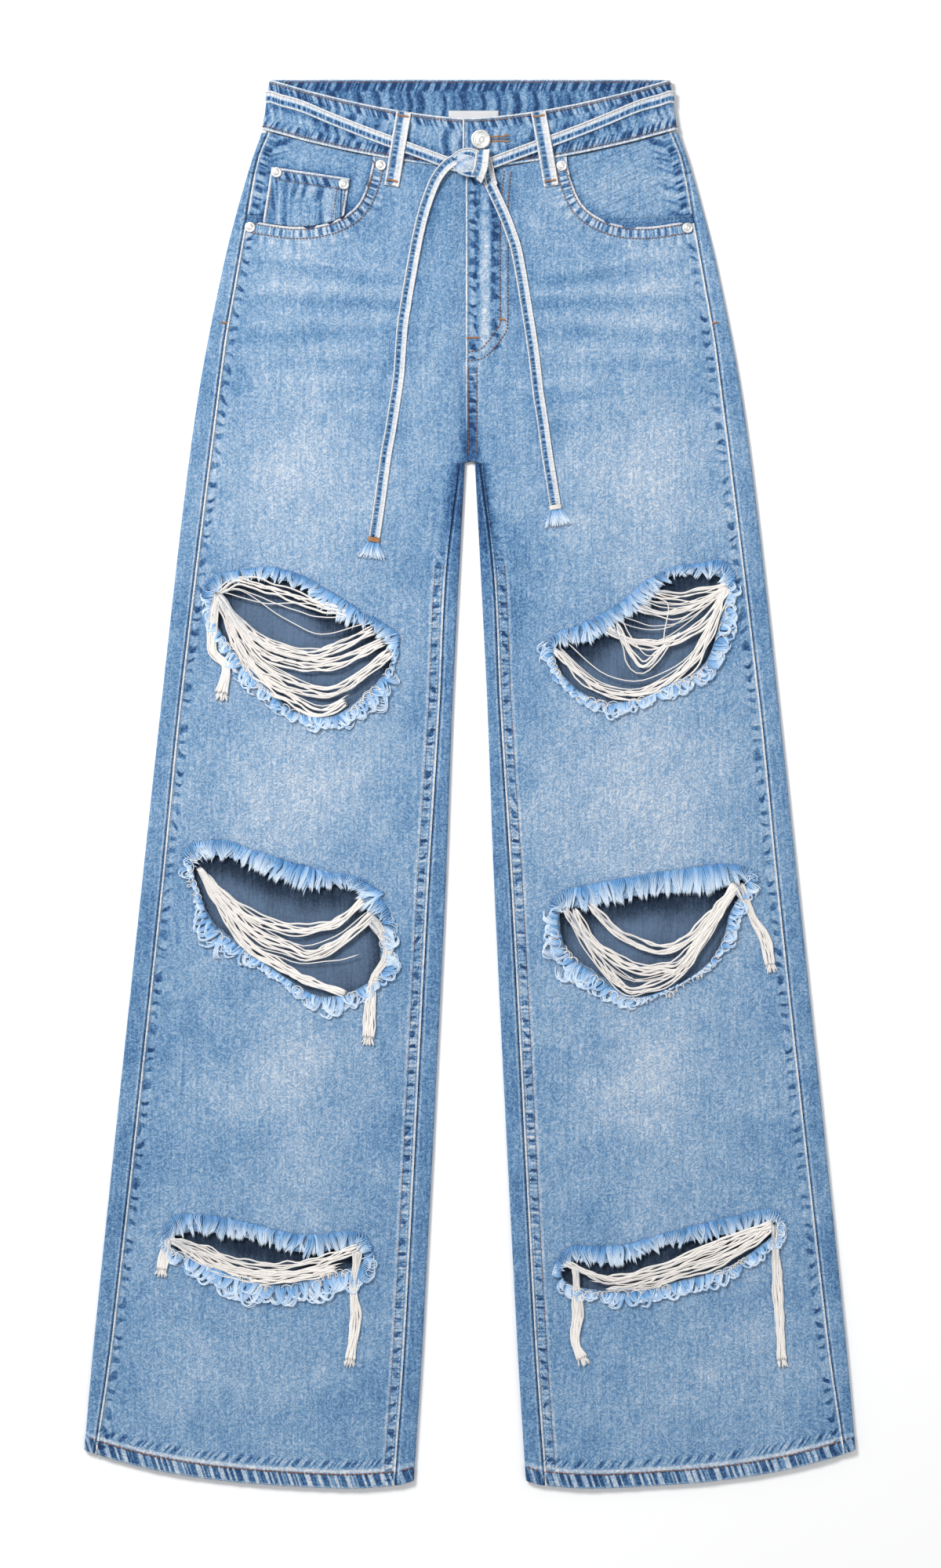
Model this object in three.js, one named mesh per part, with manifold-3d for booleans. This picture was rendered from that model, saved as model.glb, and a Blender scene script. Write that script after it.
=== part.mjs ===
// Ripped wide-leg denim jeans with a denim tie belt, laid flat and face up.
//
// Units are millimetres. +Z is up from the surface, +Y runs from the hems to the waist and +X is
// the wearer's left. The origin is on the surface, under the middle of the garment. Both halves
// share one set of outlines, given as distances from the centre line, and a piece's side is -1 for
// the wearer's right and +1 for the wearer's left.
import * as THREE from "three";
import { mergeVertices } from "three/addons/utils/BufferGeometryUtils.js";
import Module from "manifold-3d";

const wasm = await Module();
wasm.setup();

// ---- driving dimensions -------------------------------------------------------------------

const CLOTH = 1.2; // one layer of denim
const HEM_CLOTH = 2.4; // the leg's turned-up edge
const HEM_DEPTH = 12;
const SEAM_GAP = 0.3; // between two pieces where they are sewn

const LEG_HEIGHT = 4.6; // top of the front panel above the surface
const HEM_HEIGHT = 5.3;
const WAIST_CLIMB = 3; // what both panels rise by to meet the waistband
const CLIMB_LENGTH = 70;

const WAIST_TOP = 562.4; // straight top edge of the back waistband
const BACK_BAND_BOTTOM = 522;
const BAND_CLOTH = 2; // the waistband is two layers
const BAND_BACK_FACE = 2.8; // underside of the back waistband above the surface
const BAND_FRONT_FACE = 8; // top of the front waistband above the surface
const BAND_FOLD = (BAND_FRONT_FACE - BAND_BACK_FACE) / 2;

const CROTCH_TOP = 262; // the centre seams end here and the inseams start below
const CROTCH_GAP_TOP = 256;
const FLY_EDGE = 3.3; // how far the left front laps past the centre line
const FLY_UNDERLAP = 6; // how far the right front runs on under it
const FLY_DROP = 1.5;

const POCKET_LOW = 280; // the raised bed that holds each back pocket
const POCKET_HIGH = 424;
const POCKET_BED = 1.3;

const TIE_WIDTH = 9;
const TIE_CLOTH = 1.2;
const LOOP_CLOTH = 1;
const FRAY_BASE = LEG_HEIGHT + SEAM_GAP;
const FRAY_CLOTH = 0.8;
const THREAD_BASE = FRAY_BASE + FRAY_CLOTH + SEAM_GAP;
const THREAD_CLOTH = 0.6;

// A smooth line through a few points, as a function: cubic pieces whose slope at each point is
// the slope between its two neighbours.
function through(points) {
  const last = points.length - 1;
  const slope = (i) => {
    const a = points[Math.max(i - 1, 0)];
    const b = points[Math.min(i + 1, last)];
    return (b[1] - a[1]) / (b[0] - a[0]);
  };
  return (at) => {
    let i = 0;
    while (i < last - 1 && at > points[i + 1][0]) i += 1;
    const [x0, y0] = points[i];
    const [x1, y1] = points[i + 1];
    const width = x1 - x0;
    const t = (at - x0) / width;
    if (t < 0) return y0 + slope(i) * (at - x0);
    if (t > 1) return y1 + slope(i + 1) * (at - x1);
    const square = t * t;
    const cube = square * t;
    return (
      y0 * (2 * cube - 3 * square + 1) +
      y1 * (3 * square - 2 * cube) +
      slope(i) * width * (cube - 2 * square + t) +
      slope(i + 1) * width * (cube - square)
    );
  };
}

// Distance from the centre line at a height along the garment.
const outerEdge = through([
  [-532, 308], [-438, 299.5], [-81, 262], [62, 246.7], [237, 227], [325, 214.5],
  [409, 198], [454, 187], [498, 174], [522, 165.8], [563, 159.5],
]);
const innerEdge = through([[-562, 45], [-438, 37.3], [-84, 19.5], [62, 14], [169, 8.6], [256, 4]]);
const outseam = through([
  [-538, 299.8], [-438, 285.5], [-88, 247], [62, 232], [346, 197], [397, 188.3],
  [449, 179], [498, 169.5], [522, 160],
]);
const inseam = through([[-560, 60], [-438, 51.5], [-88, 33.3], [62, 24], [169, 19], [256, 8.5]]);

// Height along the garment at a distance from the centre line.
const hemLine = through([
  [44, -556], [57, -559.6], [95, -562.4], [140, -560.8], [200, -556], [250, -548],
  [288, -538.3], [308, -531.5],
]);
const pocketOpening = through([
  [77, 498], [80.8, 481.7], [88.4, 464], [102, 452.4], [120, 446], [140, 444.6], [157, 446.5],
  [176, 449.8],
]);
const facingBottom = through([[69, 470], [80, 456], [92, 447], [104, 442], [120, 438], [180, 442]]);
const frontBandTop = (x) => Math.min(531 + 30.7 * (Math.abs(x) / 159.5) ** 1.545, WAIST_TOP);
const frontBandBottom = (x) => 491.5 + 30.2 * (Math.abs(x) / 165) ** 1.5;
const yokeSeam = (x) => 455 + 35 * (Math.abs(x) / 185) ** 1.4;
const tieLine = through([
  [10, 492.3], [18, 495.2], [52, 508], [85, 520.3], [111, 530.7], [136, 541], [163, 548],
]);

const clamp = (value) => Math.min(Math.max(value, 0), 1);
const mix = (a, b, share) => a + (b - a) * share;
// 1 in the turned-up hem and 0 from a millimetre above it.
const hemShare = (x, y) => clamp(hemLine(Math.abs(x)) + HEM_DEPTH + 1 - y);
const clothAt = (x, y) => mix(CLOTH, HEM_CLOTH, hemShare(x, y));

// Top face of the front of the garment, where x is the distance from the centre line.
function frontTop(x, y) {
  const climb = clamp(1 - (frontBandBottom(x) - y) / CLIMB_LENGTH);
  return mix(LEG_HEIGHT, HEM_HEIGHT, hemShare(x, y)) + WAIST_CLIMB * climb;
}

// Lowest face of the back of the garment. It climbs to the waistband, and over the pocket bed.
function backBottom(x, y) {
  const climb = WAIST_CLIMB * clamp(1 - (BACK_BAND_BOTTOM - y) / CLIMB_LENGTH);
  const ramp = 12;
  const along = clamp((y - POCKET_LOW) / ramp + 1) * clamp((POCKET_HIGH - y) / ramp + 1);
  const reach = foldCentre(y);
  const across = clamp(x / reach / 0.06 - 1) * clamp((0.92 - x / reach) / 0.07);
  return Math.max(climb, POCKET_BED * along * across);
}

const foldRadius = (y) => (y < -515 ? HEM_HEIGHT : LEG_HEIGHT) / 2;
const foldCentre = (y) => outerEdge(y) - foldRadius(y);
const innerFoldCentre = (y) => innerEdge(y) + foldRadius(y);

// ---- making solids ------------------------------------------------------------------------

// A closed wall from two grids of [x, y, z] points of the same size, the outer and the inner face.
function wall(outer, inner) {
  const rows = outer.length;
  const columns = outer[0].length;
  const positions = [...outer.flat(2), ...inner.flat(2)];
  const at = (face, row, column) => (face * rows + row) * columns + column;
  const index = [];
  const quad = (a, b, c, d) => index.push(a, b, c, a, c, d);
  for (let r = 0; r < rows - 1; r += 1) {
    for (let c = 0; c < columns - 1; c += 1) {
      quad(at(0, r, c), at(0, r, c + 1), at(0, r + 1, c + 1), at(0, r + 1, c));
      quad(at(1, r, c), at(1, r + 1, c), at(1, r + 1, c + 1), at(1, r, c + 1));
    }
  }
  for (let c = 0; c < columns - 1; c += 1) {
    quad(at(1, 0, c), at(1, 0, c + 1), at(0, 0, c + 1), at(0, 0, c));
    quad(at(0, rows - 1, c), at(0, rows - 1, c + 1), at(1, rows - 1, c + 1), at(1, rows - 1, c));
  }
  for (let r = 0; r < rows - 1; r += 1) {
    quad(at(0, r, 0), at(0, r + 1, 0), at(1, r + 1, 0), at(1, r, 0));
    quad(at(1, r, columns - 1), at(1, r + 1, columns - 1), at(0, r + 1, columns - 1), at(0, r, columns - 1));
  }
  return facingOut(new THREE.BufferGeometry()
    .setAttribute("position", new THREE.Float32BufferAttribute(positions, 3))
    .setIndex(index));
}

// Turns a closed geometry's faces round when they enclose a negative volume.
function facingOut(geometry) {
  const p = geometry.getAttribute("position");
  const index = geometry.index.array;
  const corner = (i) => new THREE.Vector3().fromBufferAttribute(p, index[i]);
  let volume = 0;
  for (let i = 0; i < index.length; i += 3) {
    volume += corner(i).dot(corner(i + 1).cross(corner(i + 2)));
  }
  if (volume < 0) {
    for (let i = 0; i < index.length; i += 3) {
      [index[i + 1], index[i + 2]] = [index[i + 2], index[i + 1]];
    }
  }
  return geometry;
}

function toSolid(geometry) {
  const bare = new THREE.BufferGeometry().setAttribute("position", geometry.getAttribute("position"));
  if (geometry.index) bare.setIndex(geometry.index);
  const merged = mergeVertices(bare, 1e-4);
  return new wasm.Manifold(new wasm.Mesh({
    numProp: 3,
    vertProperties: merged.getAttribute("position").array,
    triVerts: new Uint32Array(merged.index.array),
  }));
}

function toGeometry(solid) {
  const mesh = solid.getMesh();
  return new THREE.BufferGeometry()
    .setAttribute("position", new THREE.BufferAttribute(mesh.vertProperties, 3))
    .setIndex(new THREE.BufferAttribute(mesh.triVerts, 1));
}

const joined = (geometries) =>
  toGeometry(geometries.map(toSolid).reduce((whole, piece) => whole.add(piece)));
const cutBy = (geometry, tools) =>
  toGeometry(tools.map(toSolid).reduce((rest, tool) => rest.subtract(tool), toSolid(geometry)));

// An upright prism over a closed outline of [x, y] points, between two heights.
function prism(outline, low, high) {
  const shape = new THREE.Shape(outline.map(([x, y]) => new THREE.Vector2(x, y)));
  const geometry = new THREE.ExtrudeGeometry(shape, { depth: high - low, bevelEnabled: false });
  return geometry.translate(0, 0, low);
}

// A round closed outline through a few points.
function smoothOutline(points, steps = 24) {
  const corners = points.map(([x, y]) => new THREE.Vector3(x, y, 0));
  const curve = new THREE.CatmullRomCurve3(corners, true, "centripetal");
  return curve.getPoints(steps).slice(0, -1).map((p) => [p.x, p.y]);
}

// A flat band along a route: its section's first size is upright and its second lies flat.
function ribbon(route, width, cloth, steps, sides = 4) {
  const section = new THREE.Shape();
  for (let i = 0; i < sides; i += 1) {
    const angle = (2 * Math.PI * (i + 0.5)) / sides;
    const reach = 1 / Math.cos(Math.PI / sides);
    const [x, y] = [0.5 * cloth * reach * Math.cos(angle), 0.5 * width * reach * Math.sin(angle)];
    if (i) section.lineTo(x, y);
    else section.moveTo(x, y);
  }
  section.closePath();
  const points = route.map((p) => new THREE.Vector3(...p));
  return new THREE.ExtrudeGeometry(section, {
    steps,
    extrudePath: new THREE.CatmullRomCurve3(points, false, "centripetal"),
    bevelEnabled: false,
  });
}

// ---- materials ----------------------------------------------------------------------------

const finish = (color, roughness, metalness = 0) =>
  new THREE.MeshStandardMaterial({ color, roughness, metalness });
const denim = finish(0x93b4d3, 0.92);
const denimInside = finish(0x52708f, 0.94);
const bandDenim = finish(0x86a7c6, 0.92);
const tieDenim = finish(0x9db9d3, 0.92);
const frayedWarp = finish(0xa9c6e6, 0.96);
const whiteThread = finish(0xece5de, 0.9);
const copperThread = finish(0x9a6242, 0.85);
const silverMetal = finish(0xe9e6e2, 0.35, 0.9);
const labelTape = finish(0xd9d9da, 0.85);

const garment = new THREE.Group();
function add(name, geometry, material) {
  const mesh = new THREE.Mesh(geometry, material);
  mesh.name = name;
  garment.add(mesh);
  return mesh;
}

const SIDES = [["right", -1], ["left", 1]];
const shifted = ([x, y, z], normal, depth) =>
  [x - normal[0] * depth, y - normal[1] * depth, z - normal[2] * depth];

// ---- rips: each hole's outline, the fringe round it and the white threads across it ----------

const RIPS = {
  right_thigh: {
    side: "right",
    hole: [
      [-204, 153], [-178, 166], [-154, 164], [-132, 157], [-116, 142], [-93, 128], [-79, 127],
      [-65, 109], [-63, 94], [-89, 67], [-107, 55], [-126, 55], [-147, 62], [-175, 92], [-201, 125],
    ],
    fringe: [
      [-215, 152], [-206, 167], [-181, 172], [-155, 174], [-122, 162], [-83, 138], [-53, 119],
      [-60, 91], [-54, 70], [-83, 56], [-110, 42], [-147, 53], [-178, 77], [-196, 97], [-209, 124],
    ],
    threads: [
      [[-202, 152], [-178, 162], [-113, 141], [-95, 136]],
      [[-202, 152], [-181, 127], [-156, 110], [-127, 104], [-107, 109], [-76, 124]],
      [[-202, 152], [-169, 109], [-145, 99], [-115, 95], [-89, 104], [-68, 114]],
      [[-202, 152], [-175, 102], [-156, 86], [-126, 74], [-101, 77], [-62, 106]],
      [[-202, 152], [-175, 92], [-145, 69], [-120, 57], [-98, 66]],
      [[-202, 152], [-206, 110], [-195, 94], [-198, 71]],
    ],
    clear: [[-150, 70], [-90, 122]],
  },
  left_thigh: {
    side: "left",
    hole: [
      [68, 108], [76, 113], [97, 114], [120, 131], [134, 139], [149, 153], [162, 167], [192, 168],
      [203, 162], [204, 147], [189, 98], [160, 80], [131, 67], [100, 67], [74, 87],
    ],
    fringe: [
      [55, 105], [68, 122], [85, 129], [114, 143], [140, 165], [155, 172], [177, 177], [207, 180],
      [214, 159], [210, 120], [189, 83], [143, 63], [120, 55], [100, 56], [74, 78], [62, 90],
    ],
    threads: [
      [[66, 109], [85, 90], [102, 77], [129, 71], [154, 79], [173, 93], [187, 113], [207, 158]],
      [[108, 124], [125, 116], [150, 112], [173, 120], [189, 132], [207, 158]],
      [[132, 141], [154, 136], [173, 139], [189, 147], [207, 158]],
      [[147, 152], [172, 150], [207, 158]],
      [[116, 129], [136, 94], [159, 113]],
    ],
    clear: [[105, 83], [158, 110]],
  },
  right_knee: {
    side: "right",
    hole: [
      [-221, -63], [-196, -57], [-167, -68], [-131, -83], [-96, -80], [-84, -99], [-71, -108],
      [-72, -121], [-75, -154], [-116, -170], [-154, -150], [-185, -127], [-205, -110], [-213, -95],
    ],
    fringe: [
      [-235, -63], [-224, -46], [-195, -43], [-175, -50], [-141, -60], [-103, -70], [-71, -78],
      [-58, -120], [-58, -151], [-88, -178], [-93, -186], [-128, -178], [-165, -150], [-195, -137],
      [-215, -126], [-221, -83],
    ],
    threads: [
      [[-217, -67], [-182, -101], [-146, -116], [-122, -115], [-103, -109], [-84, -92]],
      [[-217, -67], [-175, -117], [-141, -132], [-128, -137], [-106, -128], [-76, -104]],
      [[-217, -67], [-182, -125], [-154, -144], [-128, -158], [-98, -168]],
      [[-80, -106], [-67, -125], [-67, -140], [-76, -154], [-79, -171], [-81, -204]],
    ],
    clear: [[-178, -124], [-100, -90]],
  },
  left_knee: {
    side: "left",
    hole: [
      [73, -101], [94, -98], [142, -88], [190, -86], [222, -76], [208, -103], [204, -119],
      [191, -143], [162, -163], [129, -170], [103, -152], [85, -140], [74, -125],
    ],
    fringe: [
      [62, -86], [79, -81], [148, -68], [202, -60], [225, -52], [235, -60], [235, -73],
      [217, -106], [203, -139], [160, -165], [124, -178], [73, -153], [63, -135],
    ],
    threads: [
      [[95, -95], [114, -115], [135, -127], [154, -132], [174, -123], [187, -111], [214, -80]],
      [[83, -99], [95, -122], [114, -138], [134, -147], [153, -146], [172, -139], [214, -80]],
      [[75, -99], [100, -138], [124, -164], [142, -163], [160, -156], [177, -139], [214, -80]],
      [[214, -80], [227, -109], [235, -122], [240, -146]],
    ],
    clear: [[96, -137], [188, -103]],
  },
  right_shin: {
    side: "right",
    hole: [
      [-237, -362], [-219, -357], [-193, -360], [-168, -364], [-130, -375], [-111, -372],
      [-90, -369], [-86, -383], [-109, -390], [-156, -399], [-213, -381], [-236, -371],
    ],
    fringe: [
      [-249, -358], [-241, -344], [-218, -341], [-186, -346], [-137, -357], [-83, -356],
      [-76, -374], [-81, -396], [-127, -412], [-180, -412], [-213, -395], [-240, -381],
    ],
    threads: [
      [[-241, -362], [-211, -372], [-186, -383], [-154, -386], [-128, -383], [-87, -370]],
      [[-241, -362], [-205, -385], [-173, -394], [-147, -394], [-106, -387]],
      [[-241, -362], [-244, -376], [-246, -389]],
      [[-89, -372], [-93, -401], [-91, -427], [-96, -461]],
    ],
    clear: [[-184, -389], [-112, -378]],
  },
  left_shin: {
    side: "left",
    hole: [
      [77, -382], [111, -382], [132, -378], [157, -368], [187, -363], [239, -350], [246, -356],
      [233, -368], [205, -386], [152, -400], [111, -405], [77, -398],
    ],
    fringe: [
      [69, -375], [77, -367], [122, -366], [152, -358], [205, -344], [242, -338], [254, -353],
      [237, -378], [192, -403], [132, -416], [97, -413], [69, -403],
    ],
    threads: [
      [[74, -381], [104, -394], [124, -394], [152, -386], [179, -375], [205, -364], [243, -351]],
      [[108, -404], [138, -400], [165, -391], [192, -382], [219, -369], [243, -351]],
      [[84, -385], [86, -420], [84, -444], [90, -460]],
      [[243, -351], [245, -393], [247, -428], [249, -461]],
    ],
    clear: [[142, -385], [198, -376]],
  },
};

// ---- legs ---------------------------------------------------------------------------------

// Rows run up the garment: each gives a height for a distance from the centre line.
const level = (y) => () => y;
const HEM_ROWS = [
  (x) => hemLine(x),
  (x) => hemLine(x) + HEM_DEPTH,
  (x) => hemLine(x) + HEM_DEPTH + 1,
];
const LEG_ROWS = [-470, -380, -290, -190, -90, 10, 90, 160, 215, CROTCH_GAP_TOP].map(level);

// A point of a row at an x that itself depends on the row's height.
function onRow(row, xAt) {
  let y = row(150);
  for (let i = 0; i < 4; i += 1) y = row(xAt(y));
  return [xAt(y), y];
}

// The lower part of the right front, where it runs on under the left front at the fly.
function flyDrop(side, x, y) {
  if (side > 0) return 0;
  return FLY_DROP * clamp((14 - x) / 9) * clamp((y - 235) / 15);
}

function frontPanel(side) {
  const centre = side > 0 ? -FLY_EDGE : -FLY_UNDERLAP;
  const laps = through([[CROTCH_GAP_TOP, inseam(CROTCH_GAP_TOP) + 0.5 * SEAM_GAP], [275, centre]]);
  const inner = (y) => {
    if (y >= 275) return centre;
    return y > CROTCH_GAP_TOP ? laps(y) : inseam(y) + 0.5 * SEAM_GAP;
  };
  const outer = (y) => outseam(y) - 0.5 * SEAM_GAP;
  const columns = [
    (y) => inner(y),
    (y) => inner(y) + 11,
    (y) => inner(y) + 20,
    ...[0.2, 0.4, 0.6, 0.8, 1].map((share) => (y) => mix(inner(y) + 20, outer(y), share)),
  ];
  const rows = [
    ...HEM_ROWS,
    ...LEG_ROWS,
    ...[265, 275, 340, 400].map(level),
    ...[CLIMB_LENGTH, 45, 22, SEAM_GAP].map((below) => (x) => frontBandBottom(x) - below),
  ];
  const top = rows.map((row) => columns.map((xAt) => {
    const [x, y] = onRow(row, xAt);
    return [side * x, y, frontTop(x, y) - flyDrop(side, x, y)];
  }));
  const under = top.map((row) => row.map(([x, y, z]) => [x, y, z - clothAt(x, y)]));
  return wall(top, under);
}

// Everything above the pocket opening, out to the side.
function pocketCut(side) {
  const edge = [77, 79, 80.8, 84, 88.4, 94, 102, 120, 140, 157, 180].map((x) => [x, pocketOpening(x)]);
  const outline = [...edge, [215, pocketOpening(180)], [215, WAIST_TOP], [77, WAIST_TOP]];
  return prism(outline.map(([x, y]) => [side * x, y]), -1, 12);
}

function addFronts() {
  for (const [name, side] of SIDES) {
    const holes = Object.values(RIPS)
      .filter((rip) => rip.side === name)
      .map((rip) => prism(smoothOutline(rip.hole), 2, 8));
    add("front_" + name, cutBy(frontPanel(side), [pocketCut(side), ...holes]), denim);
  }
}

// A back piece from the seam on top, round the side fold and along the surface to its inner edge.
function backPiece(side, rows, inner) {
  const radius = foldRadius;
  const strip = (y) => outseam(y) + 0.5 * SEAM_GAP;
  const outer = [];
  const inside = [];
  for (const row of rows) {
    const outerRow = [];
    const innerRow = [];
    const put = (x, y, z, nx, nz) => {
      const point = [side * x, y, z];
      outerRow.push(point);
      innerRow.push(shifted(point, [side * nx, 0, nz], clothAt(x, y)));
    };
    const [stripX, stripY] = onRow(row, strip);
    put(stripX, stripY, frontTop(stripX, stripY), 0, 1);
    for (let i = 0; i <= 6; i += 1) {
      const angle = Math.PI * (0.5 - i / 6);
      const xAt = (y) => foldCentre(y) + radius(y) * Math.cos(angle);
      const [x, y] = onRow(row, xAt);
      const low = backBottom(x, y);
      const high = frontTop(x, y);
      const z = (low + high) / 2 + ((high - low) / 2) * Math.sin(angle);
      put(x, y, z, Math.cos(angle), Math.sin(angle));
    }
    for (const share of [0.92, 0.85, 0.6, 0.35, 0.12, 0.06, 0]) {
      const xAt = (y) => mix(inner(y), foldCentre(y), share);
      const [x, y] = onRow(row, xAt);
      put(x, y, backBottom(x, y), 0, -1);
    }
    outer.push(outerRow);
    inside.push(innerRow);
  }
  return wall(outer, inside);
}

// The back's inner side below the crotch: round the inner fold and on to the inseam.
function innerWrap(side) {
  const rows = [...HEM_ROWS, ...LEG_ROWS.slice(0, -1), level(CROTCH_GAP_TOP - 1)];
  const overlap = 1.5;
  const outer = [];
  const inside = [];
  for (const row of rows) {
    const outerRow = [];
    const innerRow = [];
    const put = (xAt, zAt, nx, nz) => {
      const [x, y] = onRow(row, xAt);
      const point = [side * x, y, zAt(x, y)];
      outerRow.push(point);
      innerRow.push(shifted(point, [side * nx, 0, nz], clothAt(x, y)));
    };
    put((y) => innerFoldCentre(y) + overlap, () => 0, 0, -1);
    for (let i = 0; i <= 6; i += 1) {
      const angle = Math.PI * (i / 6 - 0.5);
      const [nx, nz] = [-Math.cos(angle), Math.sin(angle)];
      const rise = (x, y) => (frontTop(x, y) / 2) * (1 + Math.sin(angle));
      put((y) => innerFoldCentre(y) - foldRadius(y) * Math.cos(angle), rise, nx, nz);
    }
    put((y) => Math.max(inseam(y), innerFoldCentre(y) + 1) - 0.5 * SEAM_GAP, frontTop, 0, 1);
    outer.push(outerRow);
    inside.push(innerRow);
  }
  return wall(outer, inside);
}

function addBacks() {
  const crotch = through([[CROTCH_GAP_TOP, innerFoldCentre(CROTCH_GAP_TOP)], [CROTCH_TOP, 0.5 * SEAM_GAP]]);
  const inner = (y) => {
    if (y >= CROTCH_TOP) return 0.5 * SEAM_GAP;
    return y > CROTCH_GAP_TOP ? crotch(y) : innerFoldCentre(y);
  };
  const rows = [
    ...HEM_ROWS,
    ...LEG_ROWS,
    ...[CROTCH_TOP, POCKET_LOW - 12, POCKET_LOW, 350, POCKET_HIGH, POCKET_HIGH + 12].map(level),
    (x) => yokeSeam(x) - 0.5 * SEAM_GAP,
  ];
  for (const [name, side] of SIDES) {
    add("back_" + name, joined([backPiece(side, rows, inner), innerWrap(side)]), denim);
  }
}

function addYokes() {
  const sideDip = 2.2; // the waistband's lower edge sits this much lower at the side fold
  const top = (x) => BACK_BAND_BOTTOM - SEAM_GAP - sideDip * clamp((x - 150) / 8);
  const rows = [
    (x) => yokeSeam(x) + 0.5 * SEAM_GAP,
    (x) => mix(yokeSeam(x), top(x), 0.5),
    top,
  ];
  for (const [name, side] of SIDES) {
    add("yoke_" + name, backPiece(side, rows, level(0.5 * SEAM_GAP)), denim);
  }
}

// Plain patch pockets under the seat, with a pointed lower edge.
function addBackPockets() {
  const outline = [[38, 419], [152, 415], [146, 318], [96, 288], [40, 318]];
  for (const [name, side] of SIDES) {
    add("back_pocket_" + name, prism(outline.map(([x, y]) => [side * x, y]), 0, 1), denim);
  }
}

// ---- front pockets ------------------------------------------------------------------------

// A patch on the front between two lines, at a depth below the front panel's top face.
function frontPatch(side, xs, bottom, top, depth, cloth) {
  const face = [0, 0.25, 0.5, 0.75, 1].map((share) => xs.map((xAt) => {
    const [x, y] = onRow((along) => mix(bottom(along), top(along), share), xAt);
    return [side * x, y, frontTop(x, y) - depth];
  }));
  return wall(face, face.map((row) => row.map(([x, y, z]) => [x, y, z - cloth])));
}

function addFrontPockets() {
  const seamSide = (y) => outseam(y) - 0.5 * SEAM_GAP;
  const shares = [0, 0.1, 0.22, 0.36, 0.52, 0.68, 0.84, 1];
  const across = shares.map((share) => (y) => mix(69, seamSide(y), share));
  const bandEdge = (x) => frontBandBottom(x) - SEAM_GAP;
  for (const [name, side] of SIDES) {
    const depth = CLOTH + 0.5;
    add("pocket_facing_" + name, frontPatch(side, across, facingBottom, bandEdge, depth, 1), denim);
  }
  const coinTop = (x) => mix(483, 492.4, (x - 94.5) / (158.3 - 94.5));
  const coinAcross = [0, 0.25, 0.5, 0.75, 1].map((share) => (y) => {
    const spread = clamp((492 - y) / 42);
    return mix(mix(94.5, 101, spread), mix(158.3, 165, spread), share);
  });
  const coinBottom = (x) => pocketOpening(x) + 2 * SEAM_GAP;
  add("coin_pocket", frontPatch(-1, coinAcross, coinBottom, coinTop, 0.4, 0.8), denim);
}

// ---- waistband, belt loops and label --------------------------------------------------------

// The band starts under the buttoned end, runs round the wearer's right side, across the back and
// round the left side, and ends on top at the centre front.
function addWaistband() {
  const lapHeight = BAND_FRONT_FACE + 1.5;
  const underHeight = BAND_FRONT_FACE - 0.8;
  const underCloth = 1.3;
  const frontRight = [
    [24, underHeight, underCloth], [8, underHeight, underCloth], [-8, underHeight, underCloth],
    [-17, BAND_FRONT_FACE, BAND_CLOTH], [-60, BAND_FRONT_FACE, BAND_CLOTH],
    [-100, BAND_FRONT_FACE, BAND_CLOTH], [-132, BAND_FRONT_FACE, BAND_CLOTH],
  ];
  const frontLeft = [
    [132, BAND_FRONT_FACE, BAND_CLOTH], [96, BAND_FRONT_FACE, BAND_CLOTH],
    [60, BAND_FRONT_FACE, BAND_CLOTH], [27, lapHeight, BAND_CLOTH], [8, lapHeight, BAND_CLOTH],
    [-5.8, lapHeight, BAND_CLOTH],
  ];
  const outer = [];
  const inner = [];
  const station = (lower, upper, normal, cloth) => {
    outer.push([lower, upper]);
    inner.push([shifted(lower, normal, cloth), shifted(upper, normal, cloth)]);
  };
  const frontStation = ([x, z, cloth]) =>
    station([x, frontBandBottom(x), z], [x, frontBandTop(x), z], [0, 0, 1], cloth);
  const fold = (side, turn) => {
    const angle = Math.PI * (0.5 - turn);
    const [nx, nz] = [side * Math.cos(angle), Math.sin(angle)];
    const z = BAND_BACK_FACE + BAND_FOLD * (1 + Math.sin(angle));
    const pointAt = (y) => [side * (outerEdge(y) - BAND_FOLD + BAND_FOLD * Math.cos(angle)), y, z];
    const lower = pointAt(mix(frontBandBottom(165), BACK_BAND_BOTTOM, turn));
    station(lower, pointAt(mix(frontBandTop(158), WAIST_TOP, turn)), [nx, 0, nz], BAND_CLOTH);
  };
  frontRight.forEach(frontStation);
  for (let i = 0; i <= 6; i += 1) fold(-1, i / 6);
  for (const x of [-120, -60, 0, 60, 120]) {
    const z = BAND_BACK_FACE;
    station([x, BACK_BAND_BOTTOM, z], [x, WAIST_TOP, z], [0, 0, -1], BAND_CLOTH);
  }
  for (let i = 6; i >= 0; i -= 1) fold(1, i / 6);
  frontLeft.forEach(frontStation);
  add("waistband", wall(outer, inner), bandDenim);
}

// A blank tape on the inside of the back waistband.
function addLabel() {
  const base = BAND_BACK_FACE + BAND_CLOTH + SEAM_GAP;
  add("label", prism([[-17, 512], [23, 512], [23, 537.4], [-17, 537.4]], base, base + 0.5), labelTape);
}

// A strap along a straight line from top to bottom, given as [share of its length, top face].
function strap(from, to, width, stations) {
  const [dx, dy] = [to[0] - from[0], to[1] - from[1]];
  const length = Math.hypot(dx, dy);
  const across = [(-dy / length) * 0.5 * width, (dx / length) * 0.5 * width];
  const top = stations.map(([share, z]) => [1, -1].map((edge) =>
    [from[0] + dx * share + edge * across[0], from[1] + dy * share + edge * across[1], z]));
  return wall(top, top.map((row) => row.map(([x, y, z]) => [x, y, z - LOOP_CLOTH])));
}

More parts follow.
